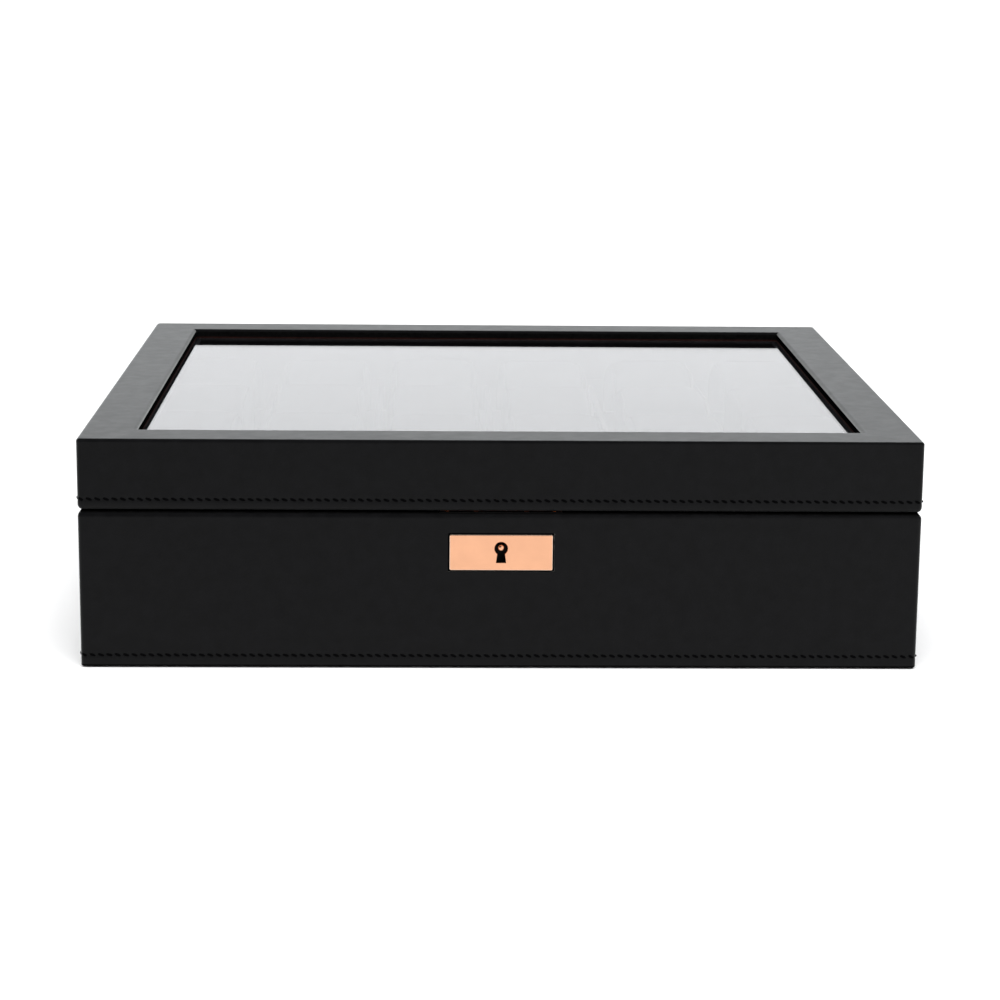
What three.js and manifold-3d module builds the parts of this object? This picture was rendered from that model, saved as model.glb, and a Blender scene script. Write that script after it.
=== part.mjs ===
// A lockable watch box: a leather-covered base with cushioned compartments under a hinged lid with a glass window.
// Units are millimetres and +Z is up. The origin is the centre of the felt underside.
// +X points to the right of a person who faces the lock, and +Y points from the lock to the hinges.
import * as THREE from "three";
import { mergeVertices } from "three/addons/utils/BufferGeometryUtils.js";
import Module from "manifold-3d";

// Overall
const BOX_WIDTH = 400;
const BOX_DEPTH = 376;
const BASE_HEIGHT = 75.1; // the leather-covered part of the base, without its felt
const LID_HEIGHT = 34.1;
const LID_GAP = 0.8; // between the closed lid and the base's rim
const CORNER_RADIUS = 2.5; // of the upright corners, over the leather

// Materials of the carcass
const LEATHER = 1.0;
const WALL_BOARD = 9.0;
const FLOOR_BOARD = 6.0;
const LINING = 1.0;
const FELT_THICKNESS = 1.0;
const FELT_INSET = 5.5;
const GLUE = 0.05; // between pieces that are glued face to face
const FIT = 0.3; // around a piece that is set into a cut-out

// Lid window
const FRAME_BORDER = 26; // from the outside of the lid to the edge of the window
const GLASS_THICKNESS = 3;
const GLASS_RECESS = 4.9; // from the top of the lid to the top of the glass
const GLASS_LAP = 5; // how far the glass runs under the frame
const RETAINER_THICKNESS = 1.5;
const RETAINER_LAP = 3; // how far the lined retainer shows inside the window

// Compartments and cushions
const COLUMNS = 6;
const ROWS = 4;
const COMPARTMENT_DEPTH = 34; // from the base's rim to the lined floor
const DIVIDER_THICKNESS = 3;
const DIVIDER_BELOW_RIM = 3;
const CUSHION_HEIGHT = 53;
const CUSHION_SIDE_GAP = 2.5;
const CUSHION_END_GAP = 7;
const CUSHION_ROUNDING = 20; // of the cushion's profile, around which a strap goes
const CUSHION_SHOULDER = 6; // of its two flat ends

// Hinges
const HINGE_LENGTH = 60;
const HINGE_SPACING = 240; // between the middles of the two hinges
const HINGE_LEAF_MARGIN = 0.5; // of board left between a leaf and the lining
const HINGE_LEAF_THICKNESS = 1.5;
const KNUCKLE_RADIUS = 2.75;
const KNUCKLE_COUNT = 5;
const HINGE_PIN_RADIUS = 1.2;
const HINGE_PIN_CLEARANCE = 0.08;

// Lock
const PLATE_WIDTH = 49;
const PLATE_HEIGHT = 17.3;
const PLATE_PROUD = 0.4; // how far the plate stands in front of the leather
const PLATE_BELOW_RIM = 19; // to the middle of the plate
const PLATE_CORNER = 0.5;
const PLATE_BEVEL = 0.35;
const KEYHOLE_RADIUS = 3.1;
const KEYHOLE_RISE = 2; // of its round part, above the middle of the plate
const KEYHOLE_DROP = 6.9; // from the middle of its round part to its foot
const KEYHOLE_NECK_WIDTH = 3.4;
const KEYHOLE_FOOT_WIDTH = 4.6;
const LOCK_PIN_RADIUS = 1.55;
const LOCK_PIN_SUNK = 0.8; // behind the face of the plate
const CASE_WIDTH = 45;
const CASE_HEIGHT = 34;
const CASE_WALL = 1;
const CASE_WEB = 0.9; // of board left in front of the case
const SELVEDGE_WIDTH = 58;
const SELVEDGE_THICKNESS = 1.5;
const STAPLE_SPACING = 24;
const STAPLE_WIDTH = 2;
const STAPLE_DEPTH = 3.6;
const STAPLE_DROP = 9.8; // below the lid's rim
const STAPLE_HOLE_DEPTH = 2.2;
const STAPLE_HOLE_HEIGHT = 3.2;
const STAPLE_FOOT = 2; // of metal under the hole
const BOLT_THICKNESS = 1.6;
const BOLT_FINGER_HEIGHT = 2.4;
const BOLT_FINGER_LENGTH = 4.2;
const BOLT_POST_WIDTH = 2.8;
const BOLT_BAR_HEIGHT = 4;
const BOLT_REST_GAP = 0.6; // between a finger's tip and its staple when unlocked
const BOLT_TALON_WIDTH = 5; // the notch that the key pushes in
const BOLT_TALON_HEIGHT = 1.8;

const CORNER_STEPS = 4; // of three.js, which draws an arc with twice as many sides
const CUSHION_STEPS = 2;
const ROUND_SEGMENTS = 32;
const OVERCUT = 1; // how far a cutting tool runs past the face that it opens

// Levels and planes that follow from the sizes above
const baseBottom = FELT_THICKNESS;
const baseRim = baseBottom + BASE_HEIGHT;
const lidRim = baseRim + LID_GAP;
const lidTop = lidRim + LID_HEIGHT;
const halfWidth = BOX_WIDTH / 2;
const halfDepth = BOX_DEPTH / 2;
const boardOutX = halfWidth - LEATHER;
const boardOutY = halfDepth - LEATHER;
const boardInX = boardOutX - WALL_BOARD;
const boardInY = boardOutY - WALL_BOARD;
const innerX = boardInX - LINING;
const innerY = boardInY - LINING;
const floorBoardTop = baseBottom + FLOOR_BOARD;
const compartmentFloor = baseRim - COMPARTMENT_DEPTH;
const glassTop = lidTop - GLASS_RECESS;
const glassBottom = glassTop - GLASS_THICKNESS;
const windowX = halfWidth - FRAME_BORDER;
const windowY = halfDepth - FRAME_BORDER;
const hingeAxisY = halfDepth + FIT + KNUCKLE_RADIUS;
const hingeAxisZ = (baseRim + lidRim) / 2;
const lockZ = baseRim - PLATE_BELOW_RIM;
const keyholeZ = lockZ + KEYHOLE_RISE;

const wasm = await Module();
wasm.setup();

// ---------------------------------------------------------------- shapes

// A box between two corners. Its corner values are stored as given, so two boxes can share a plane.
function block(x0, x1, y0, y1, z0, z1) {
  const geometry = new THREE.BoxGeometry(1, 1, 1);
  const p = geometry.getAttribute("position");
  for (let i = 0; i < p.count; i++) {
    p.setXYZ(i, p.getX(i) < 0 ? x0 : x1, p.getY(i) < 0 ? y0 : y1, p.getZ(i) < 0 ? z0 : z1);
  }
  return geometry;
}

// A box that is centred on X = 0 and Y = 0.
function centredBlock(halfX, halfY, z0, z1) {
  return block(-halfX, halfX, -halfY, halfY, z0, z1);
}

// An outline with round corners, centred on the origin.
function roundedRectangle(width, height, radius) {
  const x = width / 2 - radius;
  const y = height / 2 - radius;
  const quarter = Math.PI / 2;
  const shape = new THREE.Shape();
  shape.moveTo(x, -y - radius);
  shape.absarc(x, -y, radius, -quarter, 0);
  shape.absarc(x, y, radius, 0, quarter);
  shape.absarc(-x, y, radius, quarter, 2 * quarter);
  shape.absarc(-x, -y, radius, 2 * quarter, 3 * quarter);
  return shape;
}

function cylinderAlongX(radius, x0, x1, y, z) {
  const geometry = new THREE.CylinderGeometry(radius, radius, x1 - x0, ROUND_SEGMENTS);
  return geometry.rotateZ(Math.PI / 2).translate((x0 + x1) / 2, y, z);
}

function cylinderAlongY(radius, y0, y1, x, z) {
  const geometry = new THREE.CylinderGeometry(radius, radius, y1 - y0, ROUND_SEGMENTS);
  return geometry.translate(x, (y0 + y1) / 2, z);
}

// An outline drawn as it is seen from the front, X across and Z up, that fills the space from y0 to y1.
function frontExtrusion(shape, y0, y1, z, bevel = 0) {
  const geometry = new THREE.ExtrudeGeometry(shape, {
    depth: y1 - y0 - 2 * bevel,
    curveSegments: CORNER_STEPS * 2,
    bevelEnabled: bevel > 0,
    bevelThickness: bevel,
    bevelSize: bevel,
    bevelOffset: -bevel,
    bevelSegments: 1,
  });
  // The outline's own +Z, along which it is extruded, becomes -Y, towards the front.
  geometry.rotateX(Math.PI / 2);
  return geometry.translate(0, y1 - bevel, z);
}

// ---------------------------------------------------------------- booleans

function solid(geometry) {
  const bare = geometry.clone();
  bare.deleteAttribute("normal");
  bare.deleteAttribute("uv");
  const merged = mergeVertices(bare, 1e-4);
  return new wasm.Manifold(
    new wasm.Mesh({
      numProp: 3,
      vertProperties: merged.getAttribute("position").array,
      triVerts: new Uint32Array(merged.index.array),
    }),
  );
}

function cut(body, ...tools) {
  return tools.reduce((left, tool) => left.subtract(solid(tool)), body);
}

function join(body, ...others) {
  return others.reduce((left, other) => left.add(solid(other)), body);
}

function geometryOf(body) {
  const mesh = body.getMesh();
  const positions = new Float32Array(mesh.numVert * 3);
  for (let i = 0; i < mesh.numVert; i++) {
    positions.set(mesh.vertProperties.subarray(i * mesh.numProp, i * mesh.numProp + 3), i * 3);
  }
  const geometry = new THREE.BufferGeometry();
  geometry.setAttribute("position", new THREE.BufferAttribute(positions, 3));
  geometry.setIndex(new THREE.BufferAttribute(new Uint32Array(mesh.triVerts), 1));
  geometry.computeVertexNormals();
  return geometry;
}

// ---------------------------------------------------------------- materials

const material = (color, roughness, metalness = 0) =>
  new THREE.MeshStandardMaterial({ color, roughness, metalness });

const blackLeather = material(0x1c1c1e, 0.45);
const charcoalSuede = material(0x2a2b2e, 0.95);
const cushionLeather = material(0x242427, 0.6);
const blackFelt = material(0x111111, 1);
const board = material(0x9c7a55, 0.8);
const foam = material(0x3a3a3c, 1);
const roseGold = material(0xe8a582, 0.25, 1);
const steel = material(0x9a9da1, 0.35, 1);
const clearGlass = material(0xdfe6e8, 0.05);
clearGlass.transparent = true;
clearGlass.opacity = 0.35;

const watchBox = new THREE.Group();
const base = new THREE.Group();
const lid = new THREE.Group();
const lock = new THREE.Group();
const cushions = new THREE.Group();
watchBox.add(base, lid, lock, cushions);

function add(group, name, finish, geometry) {
  const mesh = new THREE.Mesh(geometry, finish);
  mesh.name = name;
  group.add(mesh);
}

// ---------------------------------------------------------------- hinge places

const hinges = [
  { side: "left", x: -HINGE_SPACING / 2 },
  { side: "right", x: HINGE_SPACING / 2 },
];
const leafInnerY = boardInY + HINGE_LEAF_MARGIN;

// The recess for one leaf, in the base's rim (z0 below the rim) or in the lid's.
function leafRecess(x, z0, z1) {
  const half = HINGE_LENGTH / 2 + FIT;
  return block(x - half, x + half, leafInnerY - FIT, halfDepth + OVERCUT, z0, z1);
}
const baseLeafRecesses = () =>
  hinges.map(({ x }) => leafRecess(x, baseRim - HINGE_LEAF_THICKNESS - GLUE, baseRim + OVERCUT));
const lidLeafRecesses = () =>
  hinges.map(({ x }) => leafRecess(x, lidRim - OVERCUT, lidRim + HINGE_LEAF_THICKNESS + GLUE));

// ---------------------------------------------------------------- lock places

const frontFace = -halfDepth;
const boardFront = -boardOutY;
const caseFront = boardFront + CASE_WEB + FIT;
const caseBack = -boardInY - FIT;
const caseInnerBack = caseBack - CASE_WALL;
const caseBottom = baseRim - SELVEDGE_THICKNESS - CASE_HEIGHT;
const stapleY = (caseFront + caseInnerBack) / 2;
const stapleXs = [-STAPLE_SPACING / 2, STAPLE_SPACING / 2];
const stapleBottom = lidRim - STAPLE_DROP;
const fingerZ = stapleBottom + STAPLE_FOOT + STAPLE_HOLE_HEIGHT / 2;

// The outline of the keyhole, around the middle of its round part.
function keyholeOutline(margin = 0) {
  const radius = KEYHOLE_RADIUS + margin;
  const neck = KEYHOLE_NECK_WIDTH / 2 + margin;
  const foot = KEYHOLE_FOOT_WIDTH / 2 + margin;
  const start = Math.asin(neck / radius) - Math.PI / 2;
  const outline = new THREE.Shape();
  outline.moveTo(foot, -KEYHOLE_DROP - margin);
  outline.lineTo(radius * Math.cos(start), radius * Math.sin(start));
  outline.absarc(0, 0, radius, start, Math.PI - start);
  outline.lineTo(-foot, -KEYHOLE_DROP - margin);
  return outline;
}

// The slot that lets the lid's two staples through the lock's selvedge.
const stapleSlots = () =>
  stapleXs.map((x) =>
    block(
      x - STAPLE_WIDTH / 2 - FIT * 2,
      x + STAPLE_WIDTH / 2 + FIT * 2,
      stapleY - STAPLE_DEPTH / 2 - FIT * 2,
      stapleY + STAPLE_DEPTH / 2 + FIT * 2,
      baseRim - SELVEDGE_THICKNESS - OVERCUT,
      baseRim + OVERCUT,
    ),
  );

const selvedgeFront = caseFront - GLUE;
const selvedgeBack = caseBack;

// The place of the metal strip in the base's rim, or of the strike in the lid's.
function stripRecess(z0, z1) {
  const half = SELVEDGE_WIDTH / 2 + FIT;
  return block(-half, half, selvedgeFront - FIT, selvedgeBack + FIT + OVERCUT, z0, z1);
}

// ---------------------------------------------------------------- base

add(
  base,
  "base_felt_pad",
  blackFelt,
  centredBlock(halfWidth - FELT_INSET, halfDepth - FELT_INSET, 0, FELT_THICKNESS - GLUE),
);
add(base, "base_floor_board", board, centredBlock(boardOutX - GLUE, boardOutY - GLUE, baseBottom, floorBoardTop));

const wallBottom = floorBoardTop + GLUE;
const wallTop = baseRim - LEATHER - GLUE;

// The front wall holds the lock: a mortise that is open at the top and behind, and a keyhole through what is left.
add(
  base,
  "base_front_board",
  board,
  geometryOf(
    cut(
      solid(block(-boardOutX + GLUE, boardOutX - GLUE, boardFront + GLUE, -boardInY, wallBottom, wallTop)),
      block(
        -CASE_WIDTH / 2 - FIT,
        CASE_WIDTH / 2 + FIT,
        caseFront - FIT,
        -boardInY + OVERCUT,
        caseBottom - FIT,
        wallTop + OVERCUT,
      ),
      stripRecess(baseRim - SELVEDGE_THICKNESS - FIT, baseRim + OVERCUT),
      frontExtrusion(keyholeOutline(FIT), boardFront - OVERCUT, caseFront, keyholeZ),
    ),
  ),
);
add(
  base,
  "base_back_board",
  board,
  geometryOf(
    cut(
      solid(block(-boardOutX + GLUE, boardOutX - GLUE, boardInY, boardOutY - GLUE, wallBottom, wallTop)),
      ...baseLeafRecesses(),
    ),
  ),
);
for (const [name, sign] of [
  ["base_left_board", -1],
  ["base_right_board", 1],
]) {
  const xs = [sign * boardInX, sign * (boardOutX - GLUE)].sort((a, b) => a - b);
  add(base, name, board, block(...xs, -boardInY + GLUE, boardInY - GLUE, wallBottom, wallTop));
}

// Leather goes round the outside and over the rim, and is cut out for the lock plate, the selvedge and the hinges.
function leatherShell(z0, z1) {
  const outline = roundedRectangle(BOX_WIDTH, BOX_DEPTH, CORNER_RADIUS);
  const geometry = new THREE.ExtrudeGeometry(outline, {
    depth: z1 - z0,
    bevelEnabled: false,
    curveSegments: CORNER_STEPS,
  });
  return solid(geometry.translate(0, 0, z0));
}
add(
  base,
  "base_leather_wrap",
  blackLeather,
  geometryOf(
    cut(
      leatherShell(baseBottom, baseRim),
      centredBlock(boardOutX, boardOutY, baseBottom - OVERCUT, baseRim - LEATHER),
      centredBlock(boardInX, boardInY, baseBottom, baseRim + OVERCUT),
      block(
        -PLATE_WIDTH / 2 - FIT,
        PLATE_WIDTH / 2 + FIT,
        frontFace - OVERCUT,
        boardFront + GLUE,
        lockZ - PLATE_HEIGHT / 2 - FIT,
        lockZ + PLATE_HEIGHT / 2 + FIT,
      ),
      stripRecess(baseRim - SELVEDGE_THICKNESS - FIT, baseRim + OVERCUT),
      ...baseLeafRecesses(),
    ),
  ),
);

// A foam block lifts the lined floor, so that the watches lie close under the glass.
add(
  base,
  "base_foam_riser",
  foam,
  centredBlock(boardInX - FIT, boardInY - FIT, floorBoardTop + GLUE, compartmentFloor - LINING - GLUE),
);
add(
  base,
  "base_lining",
  charcoalSuede,
  geometryOf(
    cut(
      solid(centredBlock(boardInX - GLUE, boardInY - GLUE, compartmentFloor - LINING, baseRim)),
      centredBlock(innerX, innerY, compartmentFloor, baseRim + OVERCUT),
    ),
  ),
);

// ---------------------------------------------------------------- dividers

const columnPitch = (2 * innerX + DIVIDER_THICKNESS) / COLUMNS;
const rowPitch = (2 * innerY + DIVIDER_THICKNESS) / ROWS;
const columnX = (i) => (i - (COLUMNS - 1) / 2) * columnPitch;
const rowY = (i) => (i - (ROWS - 1) / 2) * rowPitch;
const crossXs = Array.from({ length: COLUMNS - 1 }, (_, i) => (columnX(i) + columnX(i + 1)) / 2);
const longYs = Array.from({ length: ROWS - 1 }, (_, i) => (rowY(i) + rowY(i + 1)) / 2);
const dividerBottom = compartmentFloor + GLUE;
const dividerTop = baseRim - DIVIDER_BELOW_RIM;
const dividerMiddle = (dividerBottom + dividerTop) / 2;
const halfDivider = DIVIDER_THICKNESS / 2;
const halfNotch = halfDivider + FIT;

// The long dividers are notched from above and the cross dividers from below, and they slide into each other.
longYs.forEach((y, i) => {
  const plank = block(-innerX + FIT, innerX - FIT, y - halfDivider, y + halfDivider, dividerBottom, dividerTop);
  const notches = crossXs.map((x) =>
    block(
      x - halfNotch,
      x + halfNotch,
      y - halfDivider - OVERCUT,
      y + halfDivider + OVERCUT,
      dividerMiddle - FIT / 2,
      dividerTop + OVERCUT,
    ),
  );
  add(base, `long_divider_${i + 1}`, charcoalSuede, geometryOf(cut(solid(plank), ...notches)));
});
crossXs.forEach((x, i) => {
  const plank = block(x - halfDivider, x + halfDivider, -innerY + FIT, innerY - FIT, dividerBottom, dividerTop);
  const notches = longYs.map((y) =>
    block(
      x - halfDivider - OVERCUT,
      x + halfDivider + OVERCUT,
      y - halfNotch,
      y + halfNotch,
      dividerBottom - OVERCUT,
      dividerMiddle + FIT / 2,
    ),
  );
  add(base, `cross_divider_${i + 1}`, charcoalSuede, geometryOf(cut(solid(plank), ...notches)));
});

// ---------------------------------------------------------------- cushions

// One cushion, a fat bolster whose round profile faces the sides of the box, standing on Z = 0.
function cushionGeometry() {
  const width = columnPitch - DIVIDER_THICKNESS - 2 * CUSHION_SIDE_GAP;
  const depth = rowPitch - DIVIDER_THICKNESS - 2 * CUSHION_END_GAP;
  const profile = roundedRectangle(depth, CUSHION_HEIGHT, CUSHION_ROUNDING);
  const geometry = new THREE.ExtrudeGeometry(profile, {
    depth: width - 2 * CUSHION_SHOULDER,
    curveSegments: CUSHION_STEPS,
    bevelEnabled: true,
    bevelThickness: CUSHION_SHOULDER,
    bevelSize: CUSHION_SHOULDER,
    bevelOffset: -CUSHION_SHOULDER,
    bevelSegments: 1,
  });
  geometry.translate(0, 0, -(width - 2 * CUSHION_SHOULDER) / 2);
  // The profile's own X and Y become the box's Y and Z, and the extrusion runs along X.
  const turn = new THREE.Matrix4().makeBasis(
    new THREE.Vector3(0, 1, 0),
    new THREE.Vector3(0, 0, 1),
    new THREE.Vector3(1, 0, 0),
  );
  return geometry.applyMatrix4(turn).translate(0, 0, CUSHION_HEIGHT / 2);
}
const cushion = geometryOf(solid(cushionGeometry()));
for (let row = 0; row < ROWS; row++) {
  for (let column = 0; column < COLUMNS; column++) {
    const mesh = new THREE.Mesh(cushion, cushionLeather);
    mesh.name = `pillow_row${row + 1}_column${column + 1}`;
    mesh.position.set(columnX(column), rowY(row), compartmentFloor + FIT);
    cushions.add(mesh);
  }
}

// ---------------------------------------------------------------- lid

const lidWallBottom = lidRim + LEATHER + GLUE;
const lidWallTop = glassBottom - GLUE;
const topBoardTop = lidTop - LEATHER - GLUE;

add(
  lid,
  "lid_front_board",
  board,
  geometryOf(
    cut(
      solid(block(-boardOutX + GLUE, boardOutX - GLUE, boardFront + GLUE, -boardInY, lidWallBottom, lidWallTop)),
      stripRecess(lidRim - OVERCUT, lidRim + SELVEDGE_THICKNESS + FIT),
    ),
  ),
);
add(
  lid,
  "lid_back_board",
  board,
  geometryOf(
    cut(
      solid(block(-boardOutX + GLUE, boardOutX - GLUE, boardInY, boardOutY - GLUE, lidWallBottom, lidWallTop)),
      ...lidLeafRecesses(),
    ),
  ),
);
for (const [name, sign] of [
  ["lid_left_board", -1],
  ["lid_right_board", 1],
]) {
  const xs = [sign * boardInX, sign * (boardOutX - GLUE)].sort((a, b) => a - b);
  add(lid, name, board, block(...xs, -boardInY + GLUE, boardInY - GLUE, lidWallBottom, lidWallTop));
}

// The top board is rebated from below for the glass.
const rebateX = windowX + LEATHER + GLASS_LAP;
const rebateY = windowY + LEATHER + GLASS_LAP;
add(
  lid,
  "lid_top_frame",
  board,
  geometryOf(
    cut(
      solid(centredBlock(boardOutX - GLUE, boardOutY - GLUE, glassBottom, topBoardTop)),
      centredBlock(windowX + LEATHER + GLUE, windowY + LEATHER + GLUE, glassBottom - OVERCUT, lidTop + OVERCUT),
      centredBlock(rebateX, rebateY, glassBottom - OVERCUT, glassTop + GLUE),
    ),
  ),
);
add(lid, "lid_glass", clearGlass, centredBlock(rebateX - FIT, rebateY - FIT, glassBottom, glassTop));

// Leather covers the lid's walls, rim and top, and turns down into the window as far as the glass.
const lidShell = cut(
  leatherShell(lidRim, lidTop),
  centredBlock(boardOutX, boardOutY, lidRim + LEATHER, lidTop - LEATHER),
  centredBlock(boardInX, boardInY, lidRim - OVERCUT, lidRim + LEATHER + GLUE),
);
const lidLeather = cut(
  join(
    lidShell,
    centredBlock(windowX + LEATHER, windowY + LEATHER, glassTop + GLUE, lidTop),
  ),
  centredBlock(windowX, windowY, glassTop - OVERCUT, lidTop + OVERCUT),
  stripRecess(lidRim - OVERCUT, lidRim + SELVEDGE_THICKNESS + FIT),
  ...lidLeafRecesses(),
);
add(lid, "lid_leather_wrap", blackLeather, geometryOf(lidLeather));

// The lined frame covers the inside of the lid's walls and holds the glass in its rebate.
add(
  lid,
  "lid_lining",
  charcoalSuede,
  geometryOf(
    cut(
      solid(centredBlock(boardInX - GLUE, boardInY - GLUE, lidRim, lidWallTop)),
      centredBlock(innerX, innerY, lidRim - OVERCUT, lidWallTop - RETAINER_THICKNESS),
      centredBlock(windowX - RETAINER_LAP, windowY - RETAINER_LAP, lidRim, lidWallTop + OVERCUT),
    ),
  ),
);

// ---------------------------------------------------------------- hinges

const knuckleLength = (HINGE_LENGTH - (KNUCKLE_COUNT - 1) * FIT) / KNUCKLE_COUNT;

// One leaf with every second knuckle, bored for the pin.
function hingeLeaf(x, z0, z1, firstKnuckle) {
  const left = x - HINGE_LENGTH / 2;
  let leaf = solid(block(left, left + HINGE_LENGTH, leafInnerY, halfDepth, z0, z1));
  for (let i = firstKnuckle; i < KNUCKLE_COUNT; i += 2) {
    const x0 = left + i * (knuckleLength + FIT);
    const x1 = x0 + knuckleLength;
    leaf = join(
      leaf,
      block(x0, x1, halfDepth - OVERCUT, hingeAxisY, z0, z1),
      cylinderAlongX(KNUCKLE_RADIUS, x0, x1, hingeAxisY, hingeAxisZ),
    );
  }
  const bore = HINGE_PIN_RADIUS + HINGE_PIN_CLEARANCE;
  return geometryOf(
    cut(leaf, cylinderAlongX(bore, left - OVERCUT, left + HINGE_LENGTH + OVERCUT, hingeAxisY, hingeAxisZ)),
  );
}
for (const { side, x } of hinges) {
  add(base, `hinge_${side}_base_leaf`, roseGold, hingeLeaf(x, baseRim - HINGE_LEAF_THICKNESS, baseRim, 0));
  add(lid, `hinge_${side}_lid_leaf`, roseGold, hingeLeaf(x, lidRim, lidRim + HINGE_LEAF_THICKNESS, 1));
  add(
    base,
    `hinge_${side}_pin`,
    steel,
    cylinderAlongX(HINGE_PIN_RADIUS, x - HINGE_LENGTH / 2, x + HINGE_LENGTH / 2, hingeAxisY, hingeAxisZ),
  );
}

// ---------------------------------------------------------------- lock

const plateOutline = roundedRectangle(PLATE_WIDTH, PLATE_HEIGHT, PLATE_CORNER);
const plateFace = frontFace - PLATE_PROUD;
add(
  base,
  "lock_plate",
  roseGold,
  geometryOf(
    cut(
      solid(frontExtrusion(plateOutline, plateFace, boardFront, lockZ, PLATE_BEVEL)),
      frontExtrusion(keyholeOutline(), plateFace - OVERCUT, boardFront + OVERCUT, keyholeZ),
    ),
  ),
);

// The case is a tray that is open towards the front board, with the selvedge across its top.
const caseOuter = block(
  -CASE_WIDTH / 2,
  CASE_WIDTH / 2,
  caseFront,
  caseBack,
  caseBottom,
  baseRim - SELVEDGE_THICKNESS + GLUE,
);
const caseHollow = block(
  -CASE_WIDTH / 2 + CASE_WALL,
  CASE_WIDTH / 2 - CASE_WALL,
  caseFront - OVERCUT,
  caseInnerBack,
  caseBottom + CASE_WALL,
  baseRim - SELVEDGE_THICKNESS,
);
const selvedge = block(
  -SELVEDGE_WIDTH / 2,
  SELVEDGE_WIDTH / 2,
  selvedgeFront,
  selvedgeBack,
  baseRim - SELVEDGE_THICKNESS,
  baseRim,
);

// The bolt: a bar with two posts, each with a finger that points at its staple, and a notch for the key.
const boltBarTop = stapleBottom - BOLT_REST_GAP;
const boltBarBottom = boltBarTop - BOLT_BAR_HEIGHT;
const boltY0 = stapleY - BOLT_THICKNESS / 2;
const boltY1 = stapleY + BOLT_THICKNESS / 2;
const fingerTips = stapleXs.map((x) => x - STAPLE_WIDTH / 2 - BOLT_REST_GAP);
const postRights = fingerTips.map((x) => x - BOLT_FINGER_LENGTH);
const barLeft = postRights[0] - BOLT_POST_WIDTH;
const barRight = postRights[1];

// A ledge on the case's back keeps the bolt in line with the staples.
const boltLedge = block(
  barLeft + BOLT_FINGER_LENGTH,
  barRight,
  boltY1 + FIT,
  caseInnerBack + CASE_WALL / 2,
  boltBarBottom,
  boltBarTop,
);
add(
  base,
  "lock_case",
  steel,
  geometryOf(cut(join(cut(solid(caseOuter), caseHollow), selvedge, boltLedge), ...stapleSlots())),
);
add(
  base,
  "lock_pin",
  roseGold,
  cylinderAlongY(LOCK_PIN_RADIUS, plateFace + LOCK_PIN_SUNK, caseInnerBack - GLUE, 0, keyholeZ),
);

const boltParts = fingerTips.flatMap((tip, i) => [
  block(
    postRights[i] - BOLT_POST_WIDTH,
    postRights[i],
    boltY0,
    boltY1,
    boltBarBottom,
    fingerZ + BOLT_FINGER_HEIGHT / 2,
  ),
  block(
    postRights[i] - BOLT_POST_WIDTH,
    tip,
    boltY0,
    boltY1,
    fingerZ - BOLT_FINGER_HEIGHT / 2,
    fingerZ + BOLT_FINGER_HEIGHT / 2,
  ),
]);
add(
  lock,
  "lock_bolt",
  steel,
  geometryOf(
    cut(
      join(solid(block(barLeft, barRight, boltY0, boltY1, boltBarBottom, boltBarTop)), ...boltParts),
      block(
        -BOLT_TALON_WIDTH / 2,
        BOLT_TALON_WIDTH / 2,
        boltY0 - OVERCUT,
        boltY1 + OVERCUT,
        boltBarBottom - OVERCUT,
        boltBarBottom + BOLT_TALON_HEIGHT,
      ),
    ),
  ),
);

// The strike in the lid's rim carries the two staples that the bolt goes through.
const strike = block(
  -SELVEDGE_WIDTH / 2,
  SELVEDGE_WIDTH / 2,
  selvedgeFront,
  selvedgeBack,
  lidRim,
  lidRim + SELVEDGE_THICKNESS,
);
const staples = stapleXs.map((x) =>
  block(
    x - STAPLE_WIDTH / 2,
    x + STAPLE_WIDTH / 2,
    stapleY - STAPLE_DEPTH / 2,
    stapleY + STAPLE_DEPTH / 2,
    stapleBottom,
    lidRim + GLUE,
  ),
);
const stapleHoles = stapleXs.map((x) =>
  block(
    x - STAPLE_WIDTH,
    x + STAPLE_WIDTH,
    stapleY - STAPLE_HOLE_DEPTH / 2,
    stapleY + STAPLE_HOLE_DEPTH / 2,
    fingerZ - STAPLE_HOLE_HEIGHT / 2,
    fingerZ + STAPLE_HOLE_HEIGHT / 2,
  ),
);
add(lid, "lid_strike", roseGold, geometryOf(cut(join(solid(strike), ...staples), ...stapleHoles)));

export default watchBox;
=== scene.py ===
"""A lockable watch box: leather, stitching, suede, cushions and metalwork round its CAD frame."""

import math

import bmesh
import bpy
import numpy as np
from bpy.props import FloatProperty, FloatVectorProperty, IntProperty, PointerProperty
from mathutils import Matrix, Vector


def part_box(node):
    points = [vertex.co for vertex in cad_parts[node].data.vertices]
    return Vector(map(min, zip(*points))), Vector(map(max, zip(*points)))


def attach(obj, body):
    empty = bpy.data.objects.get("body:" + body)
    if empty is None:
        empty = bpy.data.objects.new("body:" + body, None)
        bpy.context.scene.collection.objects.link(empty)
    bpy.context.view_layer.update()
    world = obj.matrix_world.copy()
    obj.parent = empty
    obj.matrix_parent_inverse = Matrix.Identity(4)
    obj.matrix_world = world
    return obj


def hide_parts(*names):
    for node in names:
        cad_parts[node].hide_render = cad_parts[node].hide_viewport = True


bl_info = {
    "name": "Watch Box",
    "version": (1, 0, 0),
    "blender": (4, 5, 0),
    "location": "3D View > Sidebar > Watch Box",
    "description": "Builds the visible pieces of a leather-covered watch box around its CAD frame",
    "category": "Object",
}

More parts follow.
